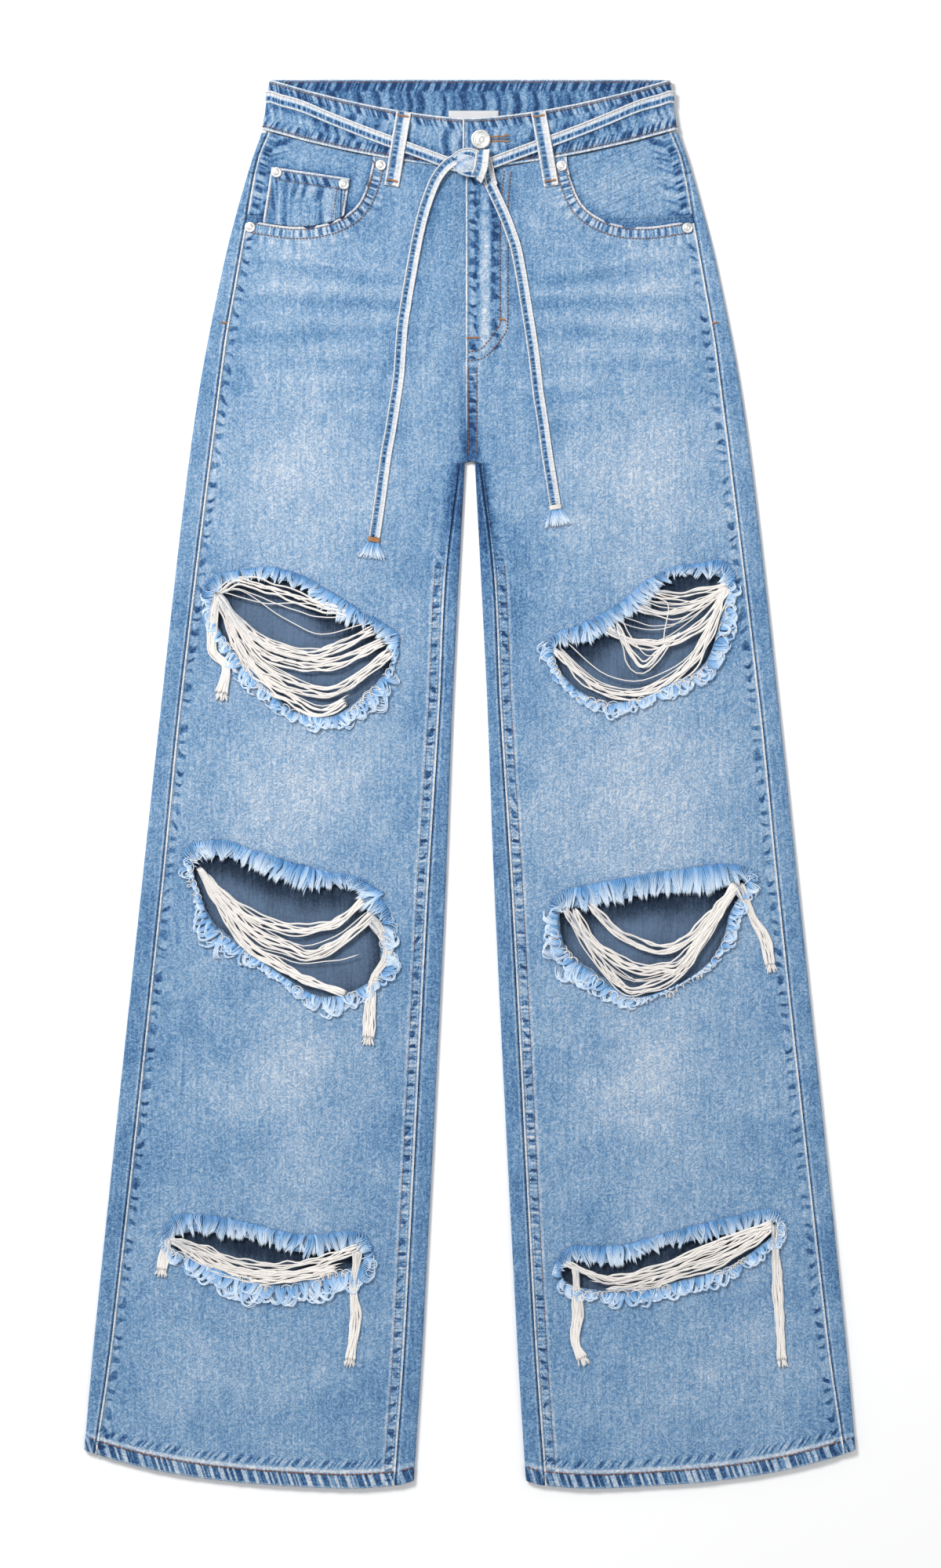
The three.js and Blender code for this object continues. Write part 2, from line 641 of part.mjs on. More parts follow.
function addBeltLoops() {
  const front = [
    [0, 9.9], [0.2, 9.9], [0.25, 11.9], [0.62, 11.9], [0.68, 9.9], [0.71, 9.9], [0.78, 8.9], [1, 8.3],
  ];
  add("belt_loop_front_right", strap([-52.6, 536], [-62.5, 477], 12, front), denim);
  add("belt_loop_front_left", strap([54.5, 536], [65, 477], 12, front), denim);
  const back = [
    [0, 2.5], [0.125, 2.5], [0.155, 1], [0.385, 1], [0.425, 2.5], [0.75, 2.5], [0.78, 2], [1, 2],
  ];
  for (const [name, x] of [["right", -100], ["centre", 0], ["left", 100]]) {
    add("belt_loop_back_" + name, strap([x, 562], [x, 510], 12, back), denim);
  }
}

// ---- tie belt -----------------------------------------------------------------------------

const TIE_TOP_AT_KNOT = 11;
const TIE_TOP_AT_SIDE = 9.5;
const TIE_FOLD = 4.3;
const TIE_FOLD_HEIGHT = 5.4;
const TIE_BACK_HEIGHT = 548;

// Round the waist from one side of the knot to the other, through the loops.
function addTieBelt() {
  const outer = [];
  const inner = [];
  const station = (points, normal) => {
    outer.push(points);
    inner.push(points.map((p) => shifted(p, normal, TIE_CLOTH)));
  };
  const halfDrop = 5; // half the belt's width, measured up the garment
  const front = (x) => {
    const share = clamp((Math.abs(x) - 35) / 35);
    const z = mix(TIE_TOP_AT_KNOT, TIE_TOP_AT_SIDE, share);
    const y = tieLine(Math.abs(x));
    station([[x, y - halfDrop, z], [x, y + halfDrop, z]], [0, 0, 1]);
  };
  const fold = (side, turn) => {
    const angle = Math.PI * (0.5 - turn);
    const [nx, nz] = [side * Math.cos(angle), Math.sin(angle)];
    const points = [-halfDrop, halfDrop].map((edge) => {
      const y = TIE_BACK_HEIGHT + edge;
      const x = outerEdge(y) - BAND_FOLD + TIE_FOLD * Math.cos(angle);
      return [side * x, y, TIE_FOLD_HEIGHT + (TIE_TOP_AT_SIDE - TIE_FOLD_HEIGHT) * Math.sin(angle)];
    });
    station(points, [nx, 0, nz]);
  };
  const stops = [20, 35, 52, 70, 85, 98, 111, 124, 136, 150];
  [-10.8, ...stops.map((x) => -x)].forEach(front);
  for (let i = 0; i <= 6; i += 1) fold(-1, i / 6);
  for (const x of [-100, 0, 100]) {
    const z = TIE_FOLD_HEIGHT - (TIE_TOP_AT_SIDE - TIE_FOLD_HEIGHT);
    const edges = [TIE_BACK_HEIGHT - halfDrop, TIE_BACK_HEIGHT + halfDrop];
    station(edges.map((y) => [x, y, z]), [0, 0, -1]);
  }
  for (let i = 6; i >= 0; i -= 1) fold(1, i / 6);
  [...stops.toReversed(), 15.4].forEach(front);
  add("tie_belt", wall(outer, inner), tieDenim);
}

// The knot's body and the turn of cloth that wraps it.
function addKnot() {
  const body = new THREE.SphereGeometry(1, 16, 10).scale(12.3, 12.6, 4).translate(2.3, 493, 14);
  const wrap = new THREE.SphereGeometry(1, 12, 10).scale(5.6, 12, 4.6).translate(9.2, 493, 14.2);
  add("tie_knot", joined([body, wrap]), tieDenim);
}

// The two free ends: from the knot down over the front, each on its own route.
const TIE_ENDS = {
  right: {
    route: [
      [-11.5, 497.5, 12], [-16, 495, 12], [-21, 490.5, 11.9], [-26, 484, 11], [-30, 476, 9.6],
      [-34, 465.5, 8.4], [-37.7, 453.6, 7.6], [-41, 440, 6.8], [-43.9, 425.5, 6.2],
      [-48.9, 397.4, 5.7], [-51.5, 381.5, 5.6], [-53.9, 365.5, 5.6], [-55.5, 345, 5.6],
      [-57, 324.9, 5.6], [-60, 304, 5.6], [-63.3, 283, 5.6], [-67, 262.4, 5.6], [-70, 240, 5.6],
      [-73, 218, 5.6], [-76.2, 197, 5.6],
    ],
    whipping: copperThread,
  },
  left: {
    route: [
      [14.5, 481.5, 9.7], [19, 472, 8.8], [24.2, 461, 8], [29, 450, 7.4], [33, 439, 6.9],
      [36.5, 428.3, 6.4], [40, 411, 5.9], [43, 393.6, 5.6], [46.5, 372, 5.6], [49.8, 350.8, 5.6],
      [52.2, 332, 5.6], [54.2, 313.6, 5.6], [57, 296, 5.6], [59.4, 279, 5.6], [61.7, 262.4, 5.6],
      [65, 242, 5.6], [68, 223, 5.6],
    ],
    whipping: whiteThread,
  },
};

function addTieEnds() {
  const whippingLength = 3.4;
  const tasselLength = 14;
  for (const [name, end] of Object.entries(TIE_ENDS)) {
    add("tie_end_" + name, ribbon(end.route, TIE_WIDTH, TIE_CLOTH, 26, 8), tieDenim);
    const tip = new THREE.Vector3(...end.route.at(-1));
    const along = tip.clone().sub(new THREE.Vector3(...end.route.at(-2))).normalize();
    const turned = (mesh, distance) => {
      mesh.position.copy(tip).addScaledVector(along, distance);
      mesh.rotation.z = Math.atan2(along.y, along.x) + Math.PI / 2;
    };
    const band = new THREE.BoxGeometry(11, whippingLength, 1.8);
    turned(add("tie_whipping_" + name, band, end.whipping), SEAM_GAP + whippingLength / 2);
    const fan = prism([[-5, 0], [5, 0], [9, -tasselLength], [-9, -tasselLength]], -0.5, 0.5);
    turned(add("tie_tassel_" + name, fan, frayedWarp), 2 * SEAM_GAP + whippingLength);
  }
}

// ---- metal --------------------------------------------------------------------------------

// A turned button: flat back, rolled rim and a shallow dished face.
function addButton() {
  const profile = [[0, 0], [6.9, 0], [7.9, 1], [7.9, 2.3], [7.1, 3.1], [6, 3.2], [5.4, 2.8], [0, 2.8]];
  const button = new THREE.LatheGeometry(profile.map(([r, z]) => new THREE.Vector2(r, z)), 24);
  add("button", button.rotateX(Math.PI / 2).translate(8.6, 513.6, 9.8), silverMetal);
}

function addRivets() {
  const places = [
    ["rivet_pocket_right_inner", -71, 493.6, 7.8], ["rivet_pocket_left_inner", 73.2, 493, 7.8],
    ["rivet_pocket_right_outer", -175.5, 444.5, 4.9], ["rivet_pocket_left_outer", 173.8, 443.9, 4.9],
    ["rivet_coin_outer", -154.3, 488, 6.5], ["rivet_coin_inner", -100.5, 478.6, 6.6],
  ];
  const profile = [[0, 0], [4.3, 0], [4.3, 0.6], [3.4, 1.3], [1.9, 1.6], [0, 1.6]];
  for (const [name, x, y, z] of places) {
    const rivet = new THREE.LatheGeometry(profile.map(([r, h]) => new THREE.Vector2(r, h)), 14);
    add(name, rivet.rotateX(Math.PI / 2).translate(x, y, z), silverMetal);
  }
}

// ---- rips ---------------------------------------------------------------------------------

function addRips() {
  for (const [name, rip] of Object.entries(RIPS)) {
    const reach = prism(smoothOutline(rip.fringe), FRAY_BASE, FRAY_BASE + FRAY_CLOTH);
    const hole = prism(smoothOutline(rip.hole), 2, 8);
    add("fray_" + name, cutBy(reach, [hole]), frayedWarp);
    const middle = THREAD_BASE + THREAD_CLOTH / 2;
    const strands = rip.threads.map((route) =>
      ribbon(route.map(([x, y]) => [x, y, middle]), 2.4, THREAD_CLOTH, 7));
    add("threads_" + name, joined(strands), whiteThread);
  }
}

addFronts();
addBacks();
addYokes();
addBackPockets();
addFrontPockets();
addWaistband();
addLabel();
addBeltLoops();
addTieBelt();
addKnot();
addTieEnds();
addButton();
addRivets();
addRips();

export default garment;
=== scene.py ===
"""Looks of the ripped wide-leg jeans with a denim tie belt, laid flat and face up.

Shapes are worked out in millimetres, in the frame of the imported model: +Y from the hems to the
waist, +X towards the wearer's left, +Z up from the surface. Outlines are distances from the centre
line, and a piece's side is -1 for the wearer's right and +1 for the wearer's left.
"""

import bmesh
import bpy
import numpy as np
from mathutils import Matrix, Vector


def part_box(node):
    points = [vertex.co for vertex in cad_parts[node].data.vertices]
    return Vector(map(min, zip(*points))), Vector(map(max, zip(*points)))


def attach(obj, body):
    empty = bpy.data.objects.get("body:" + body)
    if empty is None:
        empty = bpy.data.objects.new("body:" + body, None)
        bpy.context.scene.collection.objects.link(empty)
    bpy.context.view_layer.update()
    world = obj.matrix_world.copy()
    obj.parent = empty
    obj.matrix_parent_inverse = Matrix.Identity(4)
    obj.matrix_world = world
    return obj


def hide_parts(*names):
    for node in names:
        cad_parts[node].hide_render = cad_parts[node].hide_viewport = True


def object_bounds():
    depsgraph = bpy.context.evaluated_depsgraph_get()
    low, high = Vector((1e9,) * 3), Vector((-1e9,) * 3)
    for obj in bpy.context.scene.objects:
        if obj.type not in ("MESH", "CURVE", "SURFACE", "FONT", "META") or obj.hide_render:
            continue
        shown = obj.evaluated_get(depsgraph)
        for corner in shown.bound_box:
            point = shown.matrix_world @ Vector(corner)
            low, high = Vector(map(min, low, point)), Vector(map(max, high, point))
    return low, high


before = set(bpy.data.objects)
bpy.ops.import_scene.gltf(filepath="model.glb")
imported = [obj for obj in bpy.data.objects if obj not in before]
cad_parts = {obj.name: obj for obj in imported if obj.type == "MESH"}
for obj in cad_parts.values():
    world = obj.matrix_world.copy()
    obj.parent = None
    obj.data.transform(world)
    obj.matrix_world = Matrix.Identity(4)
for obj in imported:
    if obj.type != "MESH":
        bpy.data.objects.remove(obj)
cad_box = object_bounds()

bl_info = {
    "name": "Ripped jeans",
    "version": (1, 0, 0),
    "blender": (4, 5, 0),
    "location": "3D View > Sidebar > Jeans",
    "description": "Builds ripped wide-leg jeans with a tie belt around their packed frame",
    "category": "Add Mesh",
}

MM = 0.001
BODY = "root"
SIDES = (("right", -1), ("left", 1))

# Sizes, heights and levels, in millimetres.
CLOTH = 1.2  # one layer of denim
HEM_DEPTH = 12.0
HEM_STITCHING = 11.4  # height of the hem's row of stitches above its edge
HEM_FOLD_TOP = -515.0  # below it the side folds are as thick as the hem
SEAM_GAP = 0.3
CENTRE_GAP = 0.15  # from the centre line to a back panel or yoke
LEG_HEIGHT = 4.6
HEM_HEIGHT = 5.3
WAIST_CLIMB = 3.0
CLIMB_LENGTH = 70.0
WAIST_TOP = 562.4
BACK_BAND_BOTTOM = 522.0
BAND_CLOTH = 2.0  # the waistband is two layers
BAND_DRAWN = 1.8  # the drawn waistband stays a little thinner than that
BAND_BACK_FACE = 2.8
BAND_FRONT_FACE = 8.0
BAND_FOLD = (BAND_FRONT_FACE - BAND_BACK_FACE) / 2
CROTCH_GAP_TOP = 256.0
FLY_EDGE = 3.3
FLY_UNDERLAP = 6.0
FLY_DROP = 1.5
POCKET_LOW = 280.0
POCKET_HIGH = 424.0
POCKET_BED = 1.3
TIE_WIDTH = 9.0
TWILL_PITCH = 0.9
FRAY_BASE = LEG_HEIGHT + SEAM_GAP


# ---- lines and levels ----


def through(points):
    """A smooth line through a few points: cubic pieces whose slope at each point is the slope
    between its two neighbours, carried on straight past both ends."""
    xs, ys = np.array(points, float).T
    last = len(xs) - 1
    before = np.maximum(np.arange(last + 1) - 1, 0)
    after = np.minimum(np.arange(last + 1) + 1, last)
    slope = (ys[after] - ys[before]) / (xs[after] - xs[before])

    def line(at):
        at = np.asarray(at, float)
        i = np.clip(np.searchsorted(xs, at) - 1, 0, last - 1)
        width = xs[i + 1] - xs[i]
        t = np.clip((at - xs[i]) / width, 0, 1)
        cubic = (
            ys[i] * (2 * t**3 - 3 * t**2 + 1)
            + ys[i + 1] * (3 * t**2 - 2 * t**3)
            + slope[i] * width * (t**3 - 2 * t**2 + t)
            + slope[i + 1] * width * (t**3 - t**2)
        )
        return cubic + slope[0] * np.minimum(at - xs[0], 0) + slope[-1] * np.maximum(at - xs[-1], 0)

    return line


outer_edge = through([
    (-532, 308), (-438, 299.5), (-81, 262), (62, 246.7), (237, 227), (325, 214.5),
    (409, 198), (454, 187), (498, 174), (522, 165.8), (563, 159.5),
])
inner_edge = through([(-562, 45), (-438, 37.3), (-84, 19.5), (62, 14), (169, 8.6), (256, 4)])
outseam = through([
    (-538, 299.8), (-438, 285.5), (-88, 247), (62, 232), (346, 197), (397, 188.3),
    (449, 179), (498, 169.5), (522, 160),
])
inseam = through([(-560, 60), (-438, 51.5), (-88, 33.3), (62, 24), (169, 19), (256, 8.5)])
hem_line = through([
    (44, -556), (57, -559.6), (95, -562.4), (140, -560.8), (200, -556), (250, -548),
    (288, -538.3), (308, -531.5),
])
pocket_opening = through([
    (77, 498), (80.8, 481.7), (88.4, 464), (102, 452.4), (120, 446), (140, 444.6),
    (157, 446.5), (176, 449.8),
])
facing_bottom = through([(69, 470), (80, 456), (92, 447), (104, 442), (120, 438), (180, 442)])
tie_line = through([
    (10, 492.3), (18, 495.2), (52, 508), (85, 520.3), (111, 530.7), (136, 541), (163, 548),
])


def front_band_top(x):
    """Height of the waistband's upper edge in front."""
    return np.minimum(531 + 30.7 * (np.abs(x) / 159.5) ** 1.545, WAIST_TOP)


def front_band_bottom(x):
    """Height of the waistband's lower edge in front."""
    return 491.5 + 30.2 * (np.abs(x) / 165) ** 1.5


def yoke_seam(x):
    """Height of the seam between a back panel and its yoke."""
    return 455 + 35 * (np.abs(x) / 185) ** 1.4


def clamp(value):
    """The value held between 0 and 1."""
    return np.clip(value, 0.0, 1.0)


def mix(a, b, share):
    """A value that share of the way from a to b."""
    return a + (b - a) * share


def soft_step(low, high, value):
    """0 below low, 1 above high, and a smooth S between."""
    t = clamp((value - low) / (high - low))
    return t * t * (3 - 2 * t)


def bump(value, centre, reach):
    """A round bell, 1 at its centre and near 0 two reaches away."""
    return np.exp(-(((value - centre) / reach) ** 2))


def hem_share(x, y):
    """1 in the turned-up hem and 0 from a millimetre above it."""
    return clamp(hem_line(np.abs(x)) + HEM_DEPTH + 1 - y)


def front_top(x, y):
    """Top face of the front: the leg's height, the hem's extra fold, and the climb to the band."""
    climb = clamp(1 - (front_band_bottom(x) - y) / CLIMB_LENGTH)
    return mix(LEG_HEIGHT, HEM_HEIGHT, hem_share(x, y)) + WAIST_CLIMB * climb


def fold_radius(y):
    """Radius of a leg's rolled side fold."""
    return np.where(y < HEM_FOLD_TOP, HEM_HEIGHT, LEG_HEIGHT) / 2


def fold_centre(y):
    """Distance out to the middle of the outer side fold."""
    return outer_edge(y) - fold_radius(y)


def inner_fold_centre(y):
    """Distance out to the middle of the inner side fold."""
    return inner_edge(y) + fold_radius(y)


def back_bottom(x, y):
    """Lowest face of the back: it climbs to the waistband, and over the back pocket's bed."""
    climb = WAIST_CLIMB * clamp(1 - (BACK_BAND_BOTTOM - y) / CLIMB_LENGTH)
    along = clamp((y - POCKET_LOW) / 12 + 1) * clamp((POCKET_HIGH - y) / 12 + 1)
    reach = fold_centre(y)
    across = clamp(x / reach / 0.06 - 1) * clamp((0.92 - x / reach) / 0.07)
    return np.maximum(climb, POCKET_BED * along * across)


def wavy(x, y, seed, pitch, octaves=3):
    """Smooth noise from -1 to 1: sums of a few sine waves in seeded directions, each octave at
    half the pitch and 0.6 of the height of the last."""
    rng = np.random.default_rng(seed)
    total = np.zeros(np.broadcast(x, y).shape)
    height = 1.0
    norm = 0.0
    for _ in range(octaves):
        for _ in range(4):
            turn = rng.uniform(0, 2 * np.pi)
            shift = rng.uniform(0, 2 * np.pi)
            along = np.cos(turn) * x + np.sin(turn) * y
            total += height * np.sin(2 * np.pi * along / (pitch * rng.uniform(0.75, 1.3)) + shift)
        norm += 2.2 * height
        height *= 0.6
        pitch *= 0.5
    return np.clip(total / norm, -1, 1)


# ---- rips: hole, fringe and threads, as points [x, y] ----

RIPS = {
    "right_thigh": {
        "side": "right",
        "hole": [
            (-204, 153), (-178, 166), (-154, 164), (-132, 157), (-116, 142), (-93, 128), (-79, 127),
            (-65, 109), (-63, 94), (-89, 67), (-107, 55), (-126, 55), (-147, 62), (-175, 92), (-201, 125),
        ],
        "fringe": [
            (-215, 152), (-206, 167), (-181, 172), (-155, 174), (-122, 162), (-83, 138), (-53, 119),
            (-60, 91), (-54, 70), (-83, 56), (-110, 42), (-147, 53), (-178, 77), (-196, 97), (-209, 124),
        ],
        "threads": [
            [(-202, 152), (-178, 162), (-113, 141), (-95, 136)],
            [(-202, 152), (-181, 127), (-156, 110), (-127, 104), (-107, 109), (-76, 124)],
            [(-202, 152), (-169, 109), (-145, 99), (-115, 95), (-89, 104), (-68, 114)],
            [(-202, 152), (-175, 102), (-156, 86), (-126, 74), (-101, 77), (-62, 106)],
            [(-202, 152), (-175, 92), (-145, 69), (-120, 57), (-98, 66)],
            [(-202, 152), (-206, 110), (-195, 94), (-198, 71)],
        ],
    },
    "left_thigh": {
        "side": "left",
        "hole": [
            (68, 108), (76, 113), (97, 114), (120, 131), (134, 139), (149, 153), (162, 167), (192, 168),
            (203, 162), (204, 147), (189, 98), (160, 80), (131, 67), (100, 67), (74, 87),
        ],
        "fringe": [
            (55, 105), (68, 122), (85, 129), (114, 143), (140, 165), (155, 172), (177, 177), (207, 180),
            (214, 159), (210, 120), (189, 83), (143, 63), (120, 55), (100, 56), (74, 78), (62, 90),
        ],
        "threads": [
            [(66, 109), (85, 90), (102, 77), (129, 71), (154, 79), (173, 93), (187, 113), (207, 158)],
            [(108, 124), (125, 116), (150, 112), (173, 120), (189, 132), (207, 158)],
            [(132, 141), (154, 136), (173, 139), (189, 147), (207, 158)],
            [(147, 152), (172, 150), (207, 158)],
            [(116, 129), (136, 94), (159, 113)],
        ],
    },
    "right_knee": {
        "side": "right",
        "hole": [
            (-221, -63), (-196, -57), (-167, -68), (-131, -83), (-96, -80), (-84, -99), (-71, -108),
            (-72, -121), (-75, -154), (-116, -170), (-154, -150), (-185, -127), (-205, -110), (-213, -95),
        ],
        "fringe": [
            (-235, -63), (-224, -46), (-195, -43), (-175, -50), (-141, -60), (-103, -70), (-71, -78),
            (-58, -120), (-58, -151), (-88, -178), (-93, -186), (-128, -178), (-165, -150), (-195, -137),
            (-215, -126), (-221, -83),
        ],
        "threads": [
            [(-217, -67), (-182, -101), (-146, -116), (-122, -115), (-103, -109), (-84, -92)],
            [(-217, -67), (-175, -117), (-141, -132), (-128, -137), (-106, -128), (-76, -104)],
            [(-217, -67), (-182, -125), (-154, -144), (-128, -158), (-98, -168)],
            [(-80, -106), (-67, -125), (-67, -140), (-76, -154), (-79, -171), (-81, -204)],
        ],
    },
    "left_knee": {
        "side": "left",
        "hole": [
            (73, -101), (94, -98), (142, -88), (190, -86), (222, -76), (208, -103), (204, -119),
            (191, -143), (162, -163), (129, -170), (103, -152), (85, -140), (74, -125),
        ],
        "fringe": [
            (62, -86), (79, -81), (148, -68), (202, -60), (225, -52), (235, -60), (235, -73),
            (217, -106), (203, -139), (160, -165), (124, -178), (73, -153), (63, -135),
        ],
        "threads": [
            [(95, -95), (114, -115), (135, -127), (154, -132), (174, -123), (187, -111), (214, -80)],
            [(83, -99), (95, -122), (114, -138), (134, -147), (153, -146), (172, -139), (214, -80)],
            [(75, -99), (100, -138), (124, -164), (142, -163), (160, -156), (177, -139), (214, -80)],
            [(214, -80), (227, -109), (235, -122), (240, -146)],
        ],
    },
    "right_shin": {
        "side": "right",
        "hole": [
            (-237, -362), (-219, -357), (-193, -360), (-168, -364), (-130, -375), (-111, -372),
            (-90, -369), (-86, -383), (-109, -390), (-156, -399), (-213, -381), (-236, -371),
        ],
        "fringe": [
            (-249, -358), (-241, -344), (-218, -341), (-186, -346), (-137, -357), (-83, -356),
            (-76, -374), (-81, -396), (-127, -412), (-180, -412), (-213, -395), (-240, -381),
        ],
        "threads": [
            [(-241, -362), (-211, -372), (-186, -383), (-154, -386), (-128, -383), (-87, -370)],
            [(-241, -362), (-205, -385), (-173, -394), (-147, -394), (-106, -387)],
            [(-241, -362), (-244, -376), (-246, -389)],
            [(-89, -372), (-93, -401), (-91, -427), (-96, -461)],
        ],
    },
    "left_shin": {
        "side": "left",
        "hole": [
            (77, -382), (111, -382), (132, -378), (157, -368), (187, -363), (239, -350), (246, -356),
            (233, -368), (205, -386), (152, -400), (111, -405), (77, -398),
        ],
        "fringe": [
            (69, -375), (77, -367), (122, -366), (152, -358), (205, -344), (242, -338), (254, -353),
            (237, -378), (192, -403), (132, -416), (97, -413), (69, -403),
        ],
        "threads": [
            [(74, -381), (104, -394), (124, -394), (152, -386), (179, -375), (205, -364), (243, -351)],
            [(108, -404), (138, -400), (165, -391), (192, -382), (219, -369), (243, -351)],
            [(84, -385), (86, -420), (84, -444), (90, -460)],
            [(243, -351), (245, -393), (247, -428), (249, -461)],
        ],
    },
}

# Free ends of the tie belt, from the knot down over the front.
TIE_ENDS = {
    "right": [
        (-11.5, 497.5, 12), (-16, 495, 12), (-21, 490.5, 11.9), (-26, 484, 11), (-30, 476, 9.6),
        (-34, 465.5, 8.4), (-37.7, 453.6, 7.6), (-41, 440, 6.8), (-43.9, 425.5, 6.2),
        (-48.9, 397.4, 5.7), (-51.5, 381.5, 5.6), (-53.9, 365.5, 5.6), (-55.5, 345, 5.6),
        (-57, 324.9, 5.6), (-60, 304, 5.6), (-63.3, 283, 5.6), (-67, 262.4, 5.6), (-70, 240, 5.6),
        (-73, 218, 5.6), (-76.2, 197, 5.6),
    ],
    "left": [
        (14.5, 481.5, 9.7), (19, 472, 8.8), (24.2, 461, 8), (29, 450, 7.4), (33, 439, 6.9),
        (36.5, 428.3, 6.4), (40, 411, 5.9), (43, 393.6, 5.6), (46.5, 372, 5.6), (49.8, 350.8, 5.6),
        (52.2, 332, 5.6), (54.2, 313.6, 5.6), (57, 296, 5.6), (59.4, 279, 5.6), (61.7, 262.4, 5.6),
        (65, 242, 5.6), (68, 223, 5.6),
    ],
}


# ---- curves ----


def smooth_path(points, spacing, closed=False):
    """A Catmull-Rom curve through the points, resampled at an even spacing in millimetres."""
    p = np.array(points, float)
    if closed:
        ring = np.vstack([p[-1], p, p[0], p[1]])
    else:
        ring = np.vstack([2 * p[0] - p[1], p, 2 * p[-1] - p[-2]])
    a, b, c, d = ring[:-3], ring[1:-2], ring[2:-1], ring[3:]
    t = np.linspace(0, 1, 12, endpoint=False)[None, :, None]
    a, b, c, d = (q[:, None, :] for q in (a, b, c, d))
    curve = 0.5 * (
        2 * b + (c - a) * t + (2 * a - 5 * b + 4 * c - d) * t**2 + (3 * b - a - 3 * c + d) * t**3
    )
    curve = curve.reshape(-1, p.shape[1])
    curve = np.vstack([curve, p[0] if closed else p[-1]])
    run = np.concatenate([[0], np.cumsum(np.linalg.norm(np.diff(curve, axis=0), axis=1))])
    count = max(int(round(run[-1] / spacing)), 2)
    at = np.linspace(0, run[-1], count + 1)
    even = np.column_stack([np.interp(at, run, curve[:, k]) for k in range(p.shape[1])])
    return even[:-1] if closed else even


def run_along(path):
    """Distance from the start of a path to each of its points."""
    return np.concatenate([[0], np.cumsum(np.linalg.norm(np.diff(path, axis=0), axis=1))])


def heading(start, end):
    """Length, direction and the direction to its left, from one point to another."""
    way = end - start
    length = np.linalg.norm(way)
    ahead = way / length
    return length, ahead, np.array([-ahead[1], ahead[0]])


def tangents(path):
    """Unit directions along a path, one at each of its points."""
    step = np.gradient(path, axis=0)
    return step / np.maximum(np.linalg.norm(step, axis=1, keepdims=True), 1e-9)


# ---- meshes ----


class Surface:
    """Vertices in millimetres, quads and triangles, and named values at the vertices."""

    def __init__(self):
        self.points = []
        self.faces = []
        self.values = {}
        self.count = 0

    def add(self, points, quads, **values):
        """Adds points with their faces and values. A value that isn't given is 0."""
        points = np.asarray(points, float).reshape(-1, 3)
        self.points.append(points)
        self.faces.append(np.asarray(quads) + self.count)
        for name in sorted(set(self.values) | set(values)):
            given = values.get(name, 0.0)
            filled = np.broadcast_to(np.asarray(given, float).ravel(), (len(points),))
            self.values.setdefault(name, [np.zeros(self.count)]).append(filled)
        self.count += len(points)

    def build(self, name, materials):
        """A smooth-shaded object of the surface, with an attribute for each of its values."""
        mesh = bpy.data.meshes.new(name)
        points = np.vstack(self.points) * MM
        mesh.from_pydata(points, [], [list(f) for block in self.faces for f in block])
        for key, blocks in self.values.items():
            layer = mesh.attributes.new(key, "FLOAT", "POINT")
            layer.data.foreach_set("value", np.concatenate(blocks).astype(np.float32))
        for material in materials:
            mesh.materials.append(material)
        mesh.polygons.foreach_set("use_smooth", np.ones(len(mesh.polygons), bool))
        mesh.update()
        piece = bpy.data.objects.new(name + "_look", mesh)
        bpy.context.scene.collection.objects.link(piece)
        return piece


def grid_quads(rows, columns, closed=False, flip=False):
    """Quads of a grid of vertices in row order, closed round its columns where asked."""
    r = np.arange(rows - 1)[:, None]
    c = np.arange(columns if closed else columns - 1)[None, :]
    after = (c + 1) % columns
    quads = np.stack(
        [r * columns + c, r * columns + after, (r + 1) * columns + after, (r + 1) * columns + c], -1
    ).reshape(-1, 4)
    return quads[:, ::-1] if flip else quads


def mirrored_quads(quads, side):
    """The same quads, turned round on the side where the mirror turns them inside out."""
    return quads if side > 0 else quads[:, ::-1]


def thicken(piece, thickness, inside_slot=0):
    """Gives a sheet its thickness behind its drawn face, with its own finish inside."""
    solid = piece.modifiers.new("thickness", "SOLIDIFY")
    solid.thickness = thickness * MM
    solid.offset = -1
    solid.use_even_offset = False
    solid.material_offset = inside_slot
    solid.material_offset_rim = 0


def tube_batch(paths, radii, sides):
    """Many thin tubes of one length as one block: a ring of points round each path's point, in the
    plane across its direction, with each end drawn to its own point. paths is [tube, step, xyz] and
    radii is [tube, step]."""
    paths = np.asarray(paths, float)
    count, steps, _ = paths.shape
    along = np.gradient(paths, axis=1)
    along /= np.maximum(np.linalg.norm(along, axis=2, keepdims=True), 1e-9)
    first = np.cross(along, (0.0, 0.0, 1.0))
    first /= np.maximum(np.linalg.norm(first, axis=2, keepdims=True), 1e-9)
    second = np.cross(first, along)
    turn = 2 * np.pi * np.arange(sides) / sides
    ring = (
        first[:, :, None, :] * np.cos(turn)[None, None, :, None]
        + second[:, :, None, :] * np.sin(turn)[None, None, :, None]
    )
    radii = np.broadcast_to(radii, (count, steps)).copy()
    radii[:, 0] = 0
    radii[:, -1] = 0
    rings = paths[:, :, None, :] + ring * radii[:, :, None, None]
    body = rings[:, 1:-1]
    inner = steps - 2
    points = np.concatenate(
        [body.reshape(count, -1, 3), paths[:, :1], paths[:, -1:]], axis=1
    )
    each = inner * sides + 2
    quads = grid_quads(inner, sides, closed=True)
    start = np.arange(sides)
    nose = np.column_stack([np.full(sides, inner * sides), (start + 1) % sides, start])
    last = (inner - 1) * sides
    tail = np.column_stack([np.full(sides, inner * sides + 1), last + start, last + (start + 1) % sides])
    offsets = (np.arange(count) * each)[:, None, None]
    share = np.concatenate([np.repeat(np.linspace(0, 1, inner), sides), [0, 1]])
    return (
        points.reshape(-1, 3),
        (quads[None] + offsets).reshape(-1, 4),
        (np.vstack([nose, tail])[None] + offsets).reshape(-1, 3),
        np.tile(share, count),
    )


